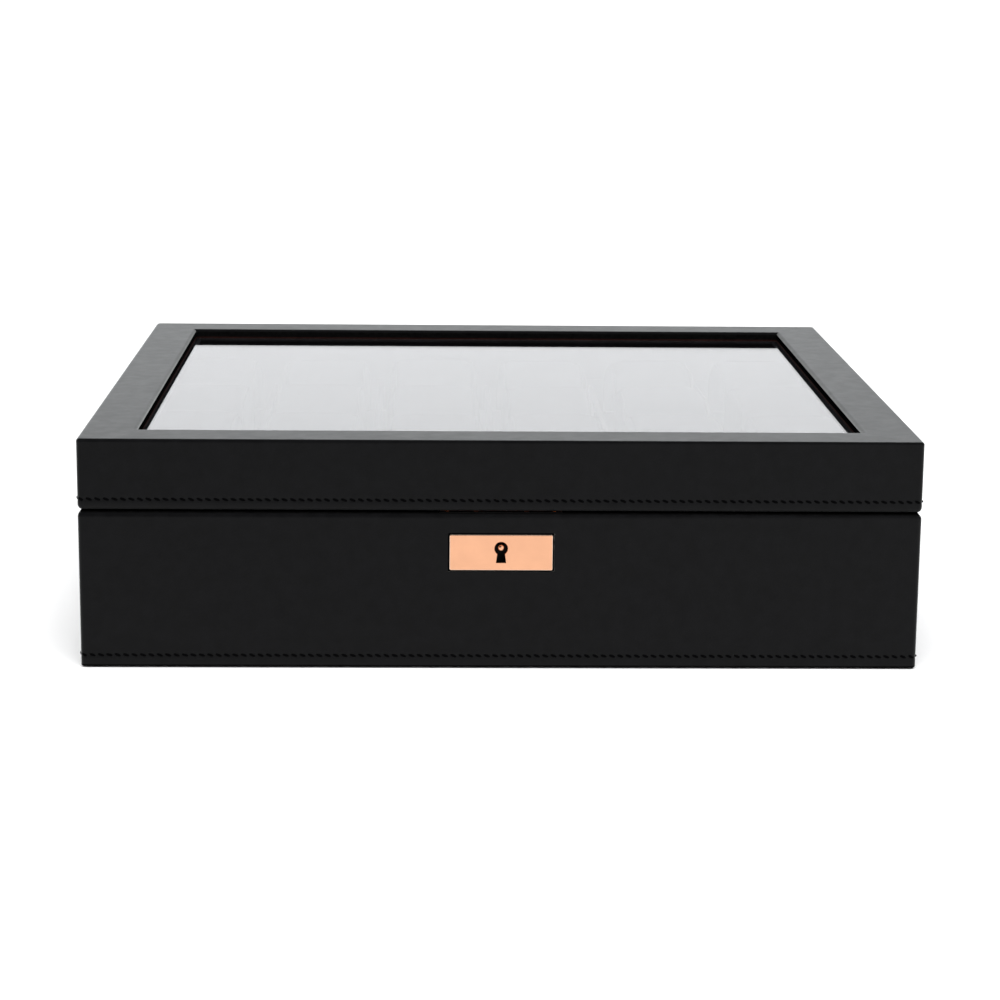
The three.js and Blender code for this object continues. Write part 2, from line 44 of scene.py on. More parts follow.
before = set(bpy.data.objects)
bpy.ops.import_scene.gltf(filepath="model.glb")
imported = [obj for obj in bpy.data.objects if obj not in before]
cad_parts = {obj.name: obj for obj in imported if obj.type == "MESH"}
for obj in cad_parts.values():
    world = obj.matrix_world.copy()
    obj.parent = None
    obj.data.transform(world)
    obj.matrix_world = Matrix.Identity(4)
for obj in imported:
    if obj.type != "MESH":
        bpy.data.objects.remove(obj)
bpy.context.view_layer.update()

MM = 0.001
BASE_LOW, BASE_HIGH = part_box("base_leather_wrap")
LID_LOW, LID_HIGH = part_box("lid_leather_wrap")
GLASS_LOW, GLASS_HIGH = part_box("lid_glass")
HALF_X, HALF_Y = BASE_HIGH.x, BASE_HIGH.y
RIM_BOARD = HALF_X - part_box("base_lining")[1].x  # from the outside to the lining
LEATHER = BASE_HIGH.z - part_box("base_front_board")[1].z
CORNER_RADIUS = 2.5 * MM  # of the covered box, seen from above
ROWS, COLUMNS = 4, 6
PAST = 2 * MM  # how far a cutting block stands out of what it cuts


# ------------------------------------------------------------------ sizes and colours that a user may change


def length(name, description, default, least=0.3):
    """A length that a user may change, given in millimetres."""
    default, least = default * MM, least * MM
    return FloatProperty(name=name, description=description, default=default, min=least, unit="LENGTH")


def colour(name, description, default):
    """A colour that a user may change."""
    return FloatVectorProperty(name=name, description=description, subtype="COLOR", size=3, default=default)


class WatchBoxSettings(bpy.types.PropertyGroup):
    """Sizes and colours of the finish"""

    stitch_pitch: length("Stitch Pitch", "From one stitch to the next", 4, least=1)
    stitch_length: length("Stitch Length", "Of one stitch on the leather", 3.1, least=0.5)
    stitch_width: length("Thread Width", "Of the sewing thread", 1.25, least=0.2)
    stitch_slant: FloatProperty(
        name="Stitch Slant",
        description="Of each stitch to its row",
        default=math.radians(20),
        subtype="ANGLE",
    )
    stitch_margin: length("Stitch Margin", "From a lower edge of the leather to its stitches", 5.3, least=2)
    edge_rounding: length("Edge Rounding", "Of the lid's upper edges", 1.5)
    rim_rounding: length("Rim Rounding", "Of the two rims that meet", 2.5)
    window_border: length("Window Border", "From the outside of the lid to the window", 26, least=12)
    cushion_pressure: FloatProperty(
        name="Cushion Pressure", description="Of the stuffing against the cover", default=4.0, min=0.0
    )
    cushion_seed: IntProperty(
        name="Cushion Seed", description="Of the small differences between cushions", default=7
    )
    leather_colour: colour("Leather", "Colour of the covering", (0.0022, 0.0022, 0.0025))
    suede_colour: colour("Suede", "Colour of the lining", (0.012, 0.0122, 0.0135))
    cushion_colour: colour("Cushion", "Colour of the cushions", (0.009, 0.009, 0.01))
    metal_colour: colour("Rose Gold", "Colour of the fittings", (0.75, 0.397, 0.24))


def settings():
    return bpy.context.scene.watch_box


# ------------------------------------------------------------------ materials

MATERIALS = {}
PATTERN_RANGE = (0.3, 0.7)  # where a pattern's darkest and lightest parts begin


def add_node(tree, kind, inputs=None, **values):
    """A new node with its settings, and with its inputs set to values or linked to sockets."""
    made = tree.nodes.new(kind)
    for key, value in values.items():
        setattr(made, key, value)
    for key, value in (inputs or {}).items():
        if isinstance(value, bpy.types.NodeSocket):
            tree.links.new(value, made.inputs[key])
        else:
            made.inputs[key].default_value = value
    return made


class Finish:
    """A material in the making: a Principled shader, and patterns in the object's own coordinates."""

    def __init__(self, name, roughness, **sockets):
        self.material = bpy.data.materials.new(name)
        self.material.use_nodes = True
        self.tree = self.material.node_tree
        self.shader = self.tree.nodes["Principled BSDF"].inputs
        for key, value in {"Roughness": roughness, **sockets}.items():
            self.shader[key.replace("_", " ")].default_value = value
        self.place = add_node(self.tree, "ShaderNodeTexCoord").outputs["Object"]

    def noise(self, size, detail=3.0, roughness=0.5):
        """Cloudy noise whose features are about size across."""
        inputs = {"Vector": self.place, "Scale": 1 / size, "Detail": detail, "Roughness": roughness}
        return add_node(self.tree, "ShaderNodeTexNoise", inputs).outputs["Fac"]

    def lines(self, scale, detail):
        """Noise drawn out into lines, with this many features to a metre along each axis."""
        inputs = {"Vector": self.place, "Scale": scale}
        place = add_node(self.tree, "ShaderNodeMapping", inputs).outputs["Vector"]
        inputs = {"Vector": place, "Scale": 1.0, "Detail": detail, "Roughness": 0.5}
        return add_node(self.tree, "ShaderNodeTexNoise", inputs).outputs["Fac"]

    def cells(self, size, feature="F1"):
        """Rounded cells about size across, low in the middle of each."""
        inputs = {"Vector": self.place, "Scale": 1 / size}
        return add_node(self.tree, "ShaderNodeTexVoronoi", inputs, feature=feature).outputs["Distance"]

    def colour(self, pattern, dark, light):
        """Colours the surface from dark to light by a pattern."""
        ramp = add_node(self.tree, "ShaderNodeValToRGB", {"Fac": pattern})
        for element, position, tone in zip(ramp.color_ramp.elements, PATTERN_RANGE, (dark, light)):
            element.position = position
            element.color = (*tone, 1)
        self.tree.links.new(ramp.outputs["Color"], self.shader["Base Color"])

    def roughen(self, pattern, low, high):
        """Varies the surface's roughness from low to high by a pattern."""
        start, end = PATTERN_RANGE
        inputs = {"Value": pattern, "From Min": start, "From Max": end, "To Min": low, "To Max": high}
        spread = add_node(self.tree, "ShaderNodeMapRange", inputs)
        self.tree.links.new(spread.outputs["Result"], self.shader["Roughness"])

    def bump(self, pattern, distance, strength):
        """Raises the surface by a pattern, on top of the bumps that it already has."""
        inputs = {"Height": pattern, "Distance": distance, "Strength": strength}
        if self.shader["Normal"].is_linked:
            inputs["Normal"] = self.shader["Normal"].links[0].from_socket
        raised = add_node(self.tree, "ShaderNodeBump", inputs)
        self.tree.links.new(raised.outputs["Normal"], self.shader["Normal"])


def shades(tone, low, high):
    """A darker and a lighter shade of a colour."""
    return [tuple(c * share for c in tone) for share in (low, high)]


def make_leather():
    """Smooth black leather with a fine pebbled grain over slow swells of the board beneath."""
    made = Finish(
        "black_leather",
        0.38,
        Specular_IOR_Level=0.092,
        Sheen_Weight=0.62,
        Sheen_Roughness=0.3,
        Sheen_Tint=(0.965, 1.0, 0.98, 1),
    )
    patch = made.noise(6 * MM)
    made.colour(patch, *shades(settings().leather_colour, 0.75, 1.35))
    made.roughen(patch, 0.34, 0.42)
    made.bump(made.noise(30 * MM, 2), 0.25 * MM, 0.22)
    made.bump(made.cells(0.9 * MM, "SMOOTH_F1"), 0.05 * MM, 0.5)
    made.bump(made.noise(0.35 * MM, 2), 0.02 * MM, 0.5)
    return made


def make_turned_leather():
    """The same leather where it is turned in, which skiving has left matt."""
    made = Finish("turned_leather", 0.9, Specular_IOR_Level=0.0)
    scuff = made.noise(2 * MM, 4, 0.6)
    made.colour(scuff, (0.0015, 0.0015, 0.0016), (0.005, 0.005, 0.005))
    made.bump(scuff, 0.1 * MM, 0.5)
    return made


def make_thread():
    """Waxed black thread with the twist of its plies; its near-black colour is partly the thread's own and
    partly painted shade for the pits that the stitches press into the leather.
    """
    made = Finish("waxed_thread", 0.8, Specular_IOR_Level=0.01)
    fibre = made.noise(0.25 * MM, 2)
    # Near black: the thread's own black, and painted shade for the pits it sits in.
    made.colour(fibre, (0.0008, 0.0008, 0.0009), (0.002, 0.002, 0.0022))
    made.bump(fibre, 0.05 * MM, 0.7)
    return made


def make_suede():
    """Short-napped charcoal suede with brushed light and dark patches."""
    made = Finish(
        "charcoal_suede",
        1.0,
        Specular_IOR_Level=0.02,
        Sheen_Weight=0.08,
        Sheen_Roughness=0.5,
        Sheen_Tint=(0.6, 0.62, 0.68, 1),
    )
    made.colour(made.noise(14 * MM, 4, 0.6), *shades(settings().suede_colour, 0.7, 1.5))
    made.bump(made.noise(0.5 * MM, 2), 0.15 * MM, 0.6)
    return made


def make_cushion_leather():
    """Soft, matt leatherette with a visible grain and slack creases; its colour varies at random and is
    darker where the creases dip, which is painted shade.
    """
    made = Finish("cushion_leather", 0.75, Specular_IOR_Level=0.04)
    crease = made.noise(9 * MM, 3, 0.6)
    # Darker where the creases dip: random tone, with painted shade in the creases.
    made.colour(crease, *shades(settings().cushion_colour, 0.75, 1.4))
    made.roughen(crease, 0.72, 0.86)
    made.bump(crease, 0.5 * MM, 0.5)
    made.bump(made.cells(1.2 * MM, "SMOOTH_F1"), 0.12 * MM, 0.6)
    return made


def make_felt():
    """Pressed black felt with matted fibres."""
    made = Finish("black_felt", 1.0, Specular_IOR_Level=0.1, Sheen_Weight=0.25)
    fibre = made.noise(0.8 * MM, 4, 0.7)
    made.colour(fibre, (0.006, 0.006, 0.006), (0.02, 0.02, 0.021))
    made.bump(fibre, 0.3 * MM, 0.8)
    return made


def make_fibreboard():
    """Plain medium-density fibreboard."""
    made = Finish("fibreboard", 0.8)
    speck = made.noise(1.5 * MM, 4, 0.7)
    made.colour(speck, (0.26, 0.16, 0.085), (0.42, 0.28, 0.16))
    made.bump(speck, 0.1 * MM, 0.4)
    return made


def make_foam():
    """Dark closed-cell foam."""
    made = Finish("foam", 0.95)
    bubble = made.cells(1.2 * MM)
    made.colour(bubble, (0.02, 0.02, 0.022), (0.06, 0.06, 0.065))
    made.bump(bubble, 0.3 * MM, 0.8)
    return made


def make_rose_gold():
    """Polished rose-gold plating with faint polishing lines and a few soft patches."""
    made = Finish("rose_gold", 0.2, Metallic=1.0)
    scratch = made.lines((30, 400, 2500), 2)
    made.colour(made.noise(8 * MM, 2), *shades(settings().metal_colour, 0.96, 1.03))
    made.roughen(scratch, 0.19, 0.22)
    made.bump(scratch, 0.002 * MM, 0.08)
    return made


def make_steel():
    """Brushed steel of the hinge pins."""
    made = Finish("steel", 0.35, Metallic=1.0)
    brushed = made.lines((60, 900, 900), 3)
    made.colour(brushed, (0.38, 0.39, 0.41), (0.56, 0.57, 0.6))
    made.roughen(brushed, 0.25, 0.45)
    made.bump(brushed, 0.02 * MM, 0.4)
    return made


def make_steel_in_shade():
    """Steel of the lock's case and bolt, coloured near black as painted shade for where the case shows in the
    gap between the rims, rubbed a little lighter along its high spots.
    """
    made = Finish("blackened_steel", 0.6, Specular_IOR_Level=0.2)
    rubbed = made.noise(5 * MM, 4, 0.6)
    made.colour(rubbed, (0.003, 0.003, 0.003), (0.012, 0.011, 0.011))
    made.roughen(rubbed, 0.65, 0.5)
    made.bump(rubbed, 0.05 * MM, 0.4)
    return made


def make_shadow_outline():
    """A near-black ring round the lock plate: painted shadow for the gap between the plate and the leather.
    """
    made = Finish("black_gasket", 0.9, Specular_IOR_Level=0.02)
    made.colour(made.noise(0.8 * MM), (0.0008, 0.0008, 0.0008), (0.0025, 0.0024, 0.0023))
    return made


def make_edge_highlight():
    """A lighter rose gold for the plate's bevel: a painted highlight along its edge."""
    made = Finish("rose_gold_edge", 0.3, Metallic=1.0)
    made.colour(made.noise(3 * MM, 2), (0.98, 0.74, 0.58), (1.0, 0.82, 0.68))
    return made


def make_copper_in_shade():
    """Copper of the strike, coloured far darker than copper is: painted shade for where it sits deep in the
    gap between the rims, in random patches.
    """
    made = Finish("antique_copper", 0.5, Metallic=1.0)
    patchy = made.noise(4 * MM, 4, 0.6)
    made.colour(patchy, (0.035, 0.012, 0.009), (0.11, 0.04, 0.026))
    made.roughen(patchy, 0.75, 0.6)
    return made


def make_bead():
    """Dark red-brown sealing bead round the glass."""
    made = Finish("glazing_bead", 0.8, Specular_IOR_Level=0.02)
    made.colour(made.noise(4 * MM), (0.009, 0.003, 0.0025), (0.018, 0.006, 0.005))
    return made


def make_glass():
    """Clear float glass, very slightly green, with hardly visible waviness."""
    made = Finish("window_glass", 0.0, Transmission_Weight=1.0, IOR=1.52, Base_Color=(0.985, 0.995, 0.99, 1))
    made.bump(made.noise(120 * MM, 1), 0.02 * MM, 0.15)
    return made


def make_floor():
    """Pale matt floor with soft clouds in it."""
    made = Finish("studio_floor", 0.9, Specular_IOR_Level=0.0)
    made.colour(made.noise(0.6, 2), (0.88, 0.88, 0.88), (0.9, 0.9, 0.9))
    return made


MAKERS = {
    "black_leather": make_leather,
    "turned_leather": make_turned_leather,
    "waxed_thread": make_thread,
    "charcoal_suede": make_suede,
    "cushion_leather": make_cushion_leather,
    "black_felt": make_felt,
    "fibreboard": make_fibreboard,
    "foam": make_foam,
    "rose_gold": make_rose_gold,
    "steel": make_steel,
    "blackened_steel": make_steel_in_shade,
    "black_gasket": make_shadow_outline,
    "rose_gold_edge": make_edge_highlight,
    "antique_copper": make_copper_in_shade,
    "glazing_bead": make_bead,
    "window_glass": make_glass,
    "studio_floor": make_floor,
}


def finish_of(name):
    """The material of that name, made when it is first asked for."""
    if name not in MATERIALS:
        MATERIALS[name] = MAKERS[name]().material
    return MATERIALS[name]


def dress(node, name):
    """Gives a CAD node that stays visible its finish."""
    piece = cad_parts[node]
    piece.data.materials.clear()
    piece.data.materials.append(finish_of(name))


# ------------------------------------------------------------------ mesh work


def filleted(corners, closed, steps=5, guard=0.25 * MM):
    """A polyline of (u, v, radius) corners with each corner rounded, as (u, v) points.

    Each arc has a guard point on both sides, so that smooth shading doesn't spill onto the flats.
    """
    out = []
    count = len(corners)
    for i, (u, v, radius) in enumerate(corners):
        here = Vector((u, v))
        if radius <= 0 or (not closed and i in (0, count - 1)):
            out.append(here)
            continue
        before = Vector(corners[i - 1][:2]) - here
        after = Vector(corners[(i + 1) % count][:2]) - here
        half = before.angle(after) / 2
        before_length, after_length = before.length, after.length
        before.normalize()
        after.normalize()
        reach = radius / math.tan(half)
        centre = here + (before + after).normalized() * (radius / math.sin(half))
        first, last = here + before * reach, here + after * reach
        sweep = (first - centre).angle_signed(last - centre)
        if before_length > 2 * (reach + guard):
            out.append(here + before * (reach + guard))
        for k in range(steps + 1):
            out.append(centre + Matrix.Rotation(-sweep * k / steps, 2) @ (first - centre))
        if after_length > 2 * (reach + guard):
            out.append(here + after * (reach + guard))
    return [(p.x, p.y) for p in out]


def rounded_rectangle(half_x, half_y, radius, steps=8):
    """The outline of a rectangle with round corners, counter-clockwise from its front right corner."""
    points = []
    for turn, (sx, sy) in enumerate(((1, -1), (1, 1), (-1, 1), (-1, -1))):
        middle_x, middle_y = sx * (half_x - radius), sy * (half_y - radius)
        for i in range(steps + 1):
            angle = (turn - 1 + i / steps) * math.pi / 2
            points.append((middle_x + radius * math.cos(angle), middle_y + radius * math.sin(angle)))
    return points


def circle(radius, steps):
    """Evenly spaced (x, y) points round a circle."""
    angles = [2 * math.pi * i / steps for i in range(steps)]
    return [(radius * math.cos(a), radius * math.sin(a)) for a in angles]


def loft(rings, closed=False, caps=False):
    """A mesh through rings of equally many points, which may be closed in a loop or have both ends filled."""
    bm = bmesh.new()
    made = [[bm.verts.new(p) for p in ring] for ring in rings]
    count = len(rings[0])
    for k in range(len(made) if closed else len(made) - 1):
        low, high = made[k], made[(k + 1) % len(made)]
        for i in range(count):
            j = (i + 1) % count
            bm.faces.new((low[i], low[j], high[j], high[i]))
    if caps:
        bm.faces.new(list(reversed(made[0])))
        bm.faces.new(made[-1])
    bmesh.ops.recalc_face_normals(bm, faces=bm.faces)
    return bm


def wall_rings(half_x, half_y, corner, profile, least=0.3 * MM):
    """Rings of a section that runs round a rectangle. The profile's points are (inset, height)."""
    return [
        [(x, y, z) for x, y in rounded_rectangle(half_x - inset, half_y - inset, max(corner - inset, least))]
        for inset, z in profile
    ]


def block_mesh(low, high):
    """A box between two corners."""
    bm = bmesh.new()
    bmesh.ops.create_cube(bm, size=1)
    centre, size = (Vector(low) + Vector(high)) / 2, Vector(high) - Vector(low)
    for v in bm.verts:
        v.co = centre + Vector(a * b for a, b in zip(v.co, size))
    return bm


def linked(name, data):
    """A new object in the scene with this mesh, curve, lamp or camera."""
    made = bpy.data.objects.new(name, data)
    bpy.context.scene.collection.objects.link(made)
    return made


def mesh_of(name, bm):
    """A mesh made of a bmesh, which is used up."""
    mesh = bpy.data.meshes.new(name)
    bm.to_mesh(mesh)
    bm.free()
    return mesh


def object_of(name, bm):
    """A new object at the origin made of a bmesh, which is used up."""
    return linked(name, mesh_of(name, bm))


def evaluated_mesh(piece):
    """A new mesh of what the object's modifiers make of it."""
    bpy.context.view_layer.update()
    evaluated = piece.evaluated_get(bpy.context.evaluated_depsgraph_get())
    return bpy.data.meshes.new_from_object(evaluated)


def settle(piece):
    """Replaces the piece's mesh by what its modifiers make of it, and removes the modifiers."""
    mesh = evaluated_mesh(piece)
    old = piece.data
    piece.modifiers.clear()
    piece.data = mesh
    mesh.name = piece.name
    if not old.users:
        bpy.data.meshes.remove(old)
    return piece


def boolean(piece, tools, operation="DIFFERENCE"):
    """Cuts the tools from the piece, or joins them to it. The tools are meshes that are used up."""
    for bm in tools:
        tool = object_of("tool", bm)
        step = piece.modifiers.new("cut", "BOOLEAN")
        step.operation = operation
        step.solver = "EXACT"
        step.object = tool
        settle(piece)
        bpy.data.objects.remove(tool)
    return piece


def soften(piece, width, segments=3, angle=math.radians(40)):
    """Bevels the piece's sharp edges."""
    step = piece.modifiers.new("soften", "BEVEL")
    step.width = width
    step.segments = segments
    step.limit_method = "ANGLE"
    step.angle_limit = angle
    step.harden_normals = False
    return settle(piece)


def smooth(piece, angle=math.radians(32)):
    """Shades the piece smoothly, up to this angle between faces."""
    piece.data.shade_smooth()
    piece.data.set_sharp_from_angle(angle=angle)


def finish_piece(piece, finish, body, replaces=(), angle=math.radians(32)):
    """Gives a finished piece its material, its body and the CAD nodes that it stands for."""
    piece.data.materials.clear()
    piece.data.materials.append(finish_of(finish))
    smooth(piece, angle)
    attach(piece, body)
    if replaces:
        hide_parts(*replaces)
    return piece


# ------------------------------------------------------------------ leather


TURN_IN = 5.2 * MM  # leather turned in under the base, up to the felt
FOOT = 0.25 * MM  # how far the turned-in leather stands below the base's boards
BACK = LEATHER * 0.9  # the leather's thickness on a rim, which the boards behind it just hide
LEAF_RECESS = 1.6 * MM  # depth of the cut-outs for the hinge leaves
STRIP_RECESS = 3 * MM  # depth of the cut-outs for the metal strip over the lock


def stitch_groove(height):
    """The shallow groove that a row of stitches pulls into the outer wall."""
    reach, depth = 1.6 * MM, 0.12 * MM
    return [(0, height - reach, 1.2 * MM), (depth, height, 1.0 * MM), (0, height + reach, 1.2 * MM)]


def recess(low, high, z0, z1):
    """A cutting block a little wider than a fitting, from its front to past its back."""
    gap = 0.3 * MM
    return block_mesh((low.x - gap, low.y - gap, z0), (high.x + gap, high.y + PAST, z1))


def leaf_recesses(z0, z1):
    """Cutting blocks for the two hinge leaves."""
    for side in ("left", "right"):
        low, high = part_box(f"hinge_{side}_base_leaf")
        yield recess(low, Vector((high.x, HALF_Y, high.z)), z0, z1)


def strip_recess(z0, z1):
    """A cutting block for the metal strip over the lock, in either rim."""
    return recess(*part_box("lock_case"), z0, z1)


def base_leather_profile():
    """Up the outside, over the rim, and back inside the leather's own thickness."""
    s = settings()
    z0, z1 = BASE_LOW.z, BASE_HIGH.z
    return filleted(
        [
            (0, z0 - FOOT, 0.7 * MM),
            *stitch_groove(z0 + s.stitch_margin),
            (0, z1, s.rim_rounding),
            (RIM_BOARD, z1, 0.4 * MM),
            (RIM_BOARD, z1 - BACK, 0),
            (LEATHER, z1 - BACK, 0),
            (LEATHER, z0 - 0.01 * MM, 0),
            (TURN_IN, z0 - 0.01 * MM, 0),
            (TURN_IN, z0 - FOOT, 0),
        ],
        closed=True,
    )


def lid_leather_profile():
    """From the rim up the outside, over the border, down into the window, and back inside."""
    s = settings()
    z0, z1 = LID_LOW.z, LID_HIGH.z
    return filleted(
        [
            (RIM_BOARD, z0, 0.4 * MM),
            (0, z0, s.rim_rounding),
            *stitch_groove(z0 + s.stitch_margin),
            (0, z1, s.edge_rounding),
            (s.window_border, z1, 1.8 * MM),
            (s.window_border, GLASS_HIGH.z + 0.1 * MM, 0.3 * MM),
            (s.window_border - LEATHER, GLASS_HIGH.z + 0.1 * MM, 0),
            (s.window_border - LEATHER, z1 - LEATHER, 0),
            (LEATHER, z1 - LEATHER, 0),
            (LEATHER, z0 + BACK, 0),
            (RIM_BOARD, z0 + BACK, 0),
        ],
        closed=True,
    )


def skive(piece, rim):
    """Gives a cover's rim, the window's wall and the base's foot the matt finish of turned-in leather."""
    piece.data.materials.append(finish_of("turned_leather"))
    border = settings().window_border
    for face in piece.data.polygons:
        x, y, z = face.center
        inset = -max(abs(x) - HALF_X, abs(y) - HALF_Y)
        on_rim = abs(z - rim) < 0.3 * MM and inset > 1.2 * MM
        in_window = border - 0.3 * MM < inset < border + LEATHER and GLASS_HIGH.z < z < LID_HIGH.z - MM
        at_foot = z < BASE_LOW.z + 0.6 * MM
        if on_rim or in_window or at_foot:
            face.material_index = 1


class WATCHBOX_OT_base_leather(bpy.types.Operator):
    """Cover the base in leather, with cut-outs for the lock and hinges"""

    bl_idname = "watchbox.base_leather"
    bl_label = "Base Leather"

    def execute(self, context):
        rings = wall_rings(HALF_X, HALF_Y, CORNER_RADIUS, base_leather_profile())
        piece = object_of("base_leather", loft(rings, closed=True))
        low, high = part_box("lock_plate")
        gap, half_keyway = 0.75 * MM, 6 * MM
        opening_high = (high.x + gap, high.y - 0.1 * MM, high.z + gap)
        keyway_low = (-half_keyway, high.y - MM, low.z + 2 * MM)
        keyway_high = (half_keyway, high.y + MM, high.z - 2 * MM)
        boolean(
            piece,
            [
                block_mesh((low.x - gap, low.y - PAST, low.z - gap), opening_high),
                block_mesh(keyway_low, keyway_high),
                strip_recess(BASE_HIGH.z - STRIP_RECESS, BASE_HIGH.z + PAST),
                *leaf_recesses(BASE_HIGH.z - LEAF_RECESS, BASE_HIGH.z + PAST),
            ],
        )
        finish_piece(piece, "black_leather", "base", replaces=["base_leather_wrap"])
        skive(piece, BASE_HIGH.z)
        return {"FINISHED"}


class WATCHBOX_OT_lid_leather(bpy.types.Operator):
    """Cover the lid in leather, down into its window"""

    bl_idname = "watchbox.lid_leather"
    bl_label = "Lid Leather"

    def execute(self, context):
        rings = wall_rings(HALF_X, HALF_Y, CORNER_RADIUS, lid_leather_profile())
        piece = object_of("lid_leather", loft(rings, closed=True))
        boolean(
            piece,
            [
                strip_recess(LID_LOW.z - PAST, LID_LOW.z + STRIP_RECESS),
                *leaf_recesses(LID_LOW.z - PAST, LID_LOW.z + LEAF_RECESS),
            ],
        )
        finish_piece(piece, "black_leather", "lid", replaces=["lid_leather_wrap"])
        skive(piece, LID_LOW.z)
        return {"FINISHED"}


# ------------------------------------------------------------------ stitching


def start_tree(name, inputs):
    """An empty geometry node tree, its inputs' identifiers, their sockets and the output node."""
    tree = bpy.data.node_groups.new(name, "GeometryNodeTree")
    for way in ("INPUT", "OUTPUT"):
        tree.interface.new_socket("Geometry", in_out=way, socket_type="NodeSocketGeometry")
    names = {}
    for key, (kind, value) in inputs.items():
        socket = tree.interface.new_socket(key, in_out="INPUT", socket_type="NodeSocket" + kind)
        if value is not None:
            socket.default_value = value
        names[key] = socket.identifier
    return tree, names, tree.nodes.new("NodeGroupInput").outputs, tree.nodes.new("NodeGroupOutput")


def end_tree(tree, instances, finish, result):
    """Makes instances real, gives them their finish and hands them to the tree's output."""
    real = add_node(tree, "GeometryNodeRealizeInstances", {"Geometry": instances})
    smoothed = add_node(tree, "GeometryNodeSetShadeSmooth", {"Geometry": real.outputs["Geometry"]})
    inputs = {"Geometry": smoothed.outputs["Geometry"], "Material": finish}
    painted = add_node(tree, "GeometryNodeSetMaterial", inputs)
    tree.links.new(painted.outputs["Geometry"], result.inputs["Geometry"])


def run_tree(source, name, tree, names, values):
    """The piece that geometry nodes make of a curve or of points, which are used up."""
    step = source.modifiers.new("nodes", "NODES")
    step.node_group = tree
    for key, value in values.items():
        step[names[key]] = value
    mesh = evaluated_mesh(source)
    if not mesh.polygons:
        raise RuntimeError(f"{name} came out empty")
    bpy.data.objects.remove(source)
    mesh.name = name
    return linked(name, mesh)


def stitch_tree():
    """Geometry nodes that sew a row of slanted stitches along a curve."""
    tree, names, given, result = start_tree(
        "stitch_row",
        {
            "Pitch": ("Float", 4 * MM),
            "Length": ("Float", 3 * MM),
            "Width": ("Float", 0.8 * MM),
            "Slant": ("Float", 0.35),
            "Unevenness": ("Float", 0.06),
            "Seed": ("Int", 3),
            "Thread": ("Material", None),
        },
    )

    def node(kind, inputs=None, **values):
        return add_node(tree, kind, inputs, **values).outputs

    path = {"Curve": given["Geometry"], "Length": given["Pitch"]}
    points = node("GeometryNodeResampleCurve", path, mode="LENGTH")["Curve"]
    tangent = {"Vector": node("GeometryNodeInputTangent")["Tangent"]}
    facing = node("FunctionNodeAlignRotationToVector", tangent, axis="X", pivot_axis="Z")[0]
    least = node("ShaderNodeMath", {0: given["Unevenness"], 1: -1.0}, operation="MULTIPLY")[0]
    spread = {2: least, 3: given["Unevenness"], "Seed": given["Seed"]}
    wobble = node("FunctionNodeRandomValue", spread, data_type="FLOAT")[1]
    angle = node("ShaderNodeMath", {0: given["Slant"], 1: wobble}, operation="ADD")[0]
    euler = node("ShaderNodeCombineXYZ", {"Y": angle})["Vector"]
    tilt = node("FunctionNodeEulerToRotation", {"Euler": euler})[0]
    turn = {"Rotation": facing, "Rotate By": tilt}
    turned = node("FunctionNodeRotateRotation", turn, rotation_space="LOCAL")[0]
    grain = node("GeometryNodeMeshUVSphere", {"Segments": 8, "Rings": 6, "Radius": 0.5})["Mesh"]
    across = given["Width"]
    size = node("ShaderNodeCombineXYZ", {"X": across, "Y": across, "Z": given["Length"]})["Vector"]
    shape = {"Geometry": grain, "Scale": size, "Rotation": (0, math.pi / 2, 0)}
    stitch = node("GeometryNodeTransform", shape)["Geometry"]
    row = {"Points": points, "Instance": stitch, "Rotation": turned}
    end_tree(tree, node("GeometryNodeInstanceOnPoints", row)["Instances"], given["Thread"], result)
    return tree, names


def ring_curve(inset, z):
    """A closed curve round the outer wall at one height."""
    outline = rounded_rectangle(HALF_X - inset, HALF_Y - inset, CORNER_RADIUS - inset)
    data = bpy.data.curves.new("path", "CURVE")
    data.dimensions = "3D"
    spline = data.splines.new("POLY")
    spline.points.add(len(outline) - 1)
    for point, (x, y) in zip(spline.points, outline):
        point.co = (x, y, z, 1)
    spline.use_cyclic_u = True
    return linked("path", data)


class WATCHBOX_OT_stitching(bpy.types.Operator):
    """Sew a row of stitches round the base and round the lid"""

    bl_idname = "watchbox.stitching"
    bl_label = "Stitching"

    def execute(self, context):
        s = settings()
        tree, names = stitch_tree()
        sunk = 0.06 * MM  # the thread's middle below the leather's surface
        for name, body, foot, seed in (
            ("base_stitching", "base", BASE_LOW.z, 3),
            ("lid_stitching", "lid", LID_LOW.z, 4),
        ):
            values = {
                "Pitch": s.stitch_pitch,
                "Length": s.stitch_length,
                "Width": s.stitch_width,
                "Slant": s.stitch_slant,
                "Seed": seed,
                "Thread": finish_of("waxed_thread"),
            }
            piece = run_tree(ring_curve(sunk, foot + s.stitch_margin), name, tree, names, values)
            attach(piece, body)
        return {"FINISHED"}


# ------------------------------------------------------------------ felt, linings, dividers, glass


class WATCHBOX_OT_felt_pad(bpy.types.Operator):
    """Lay the felt pad under the base"""

    bl_idname = "watchbox.felt_pad"
    bl_label = "Felt Pad"

    def execute(self, context):
        low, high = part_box("base_felt_pad")
        edge = 0.35 * MM
        corners = [(8 * MM, low.z, 0), (0, low.z, edge), (0, high.z, edge), (8 * MM, high.z, 0)]
        rings = wall_rings(high.x, high.y, 2 * MM, filleted(corners, closed=False, steps=3))
        piece = object_of("felt_pad", loft(rings, caps=True))
        finish_piece(piece, "black_felt", "base", replaces=["base_felt_pad"])
        return {"FINISHED"}


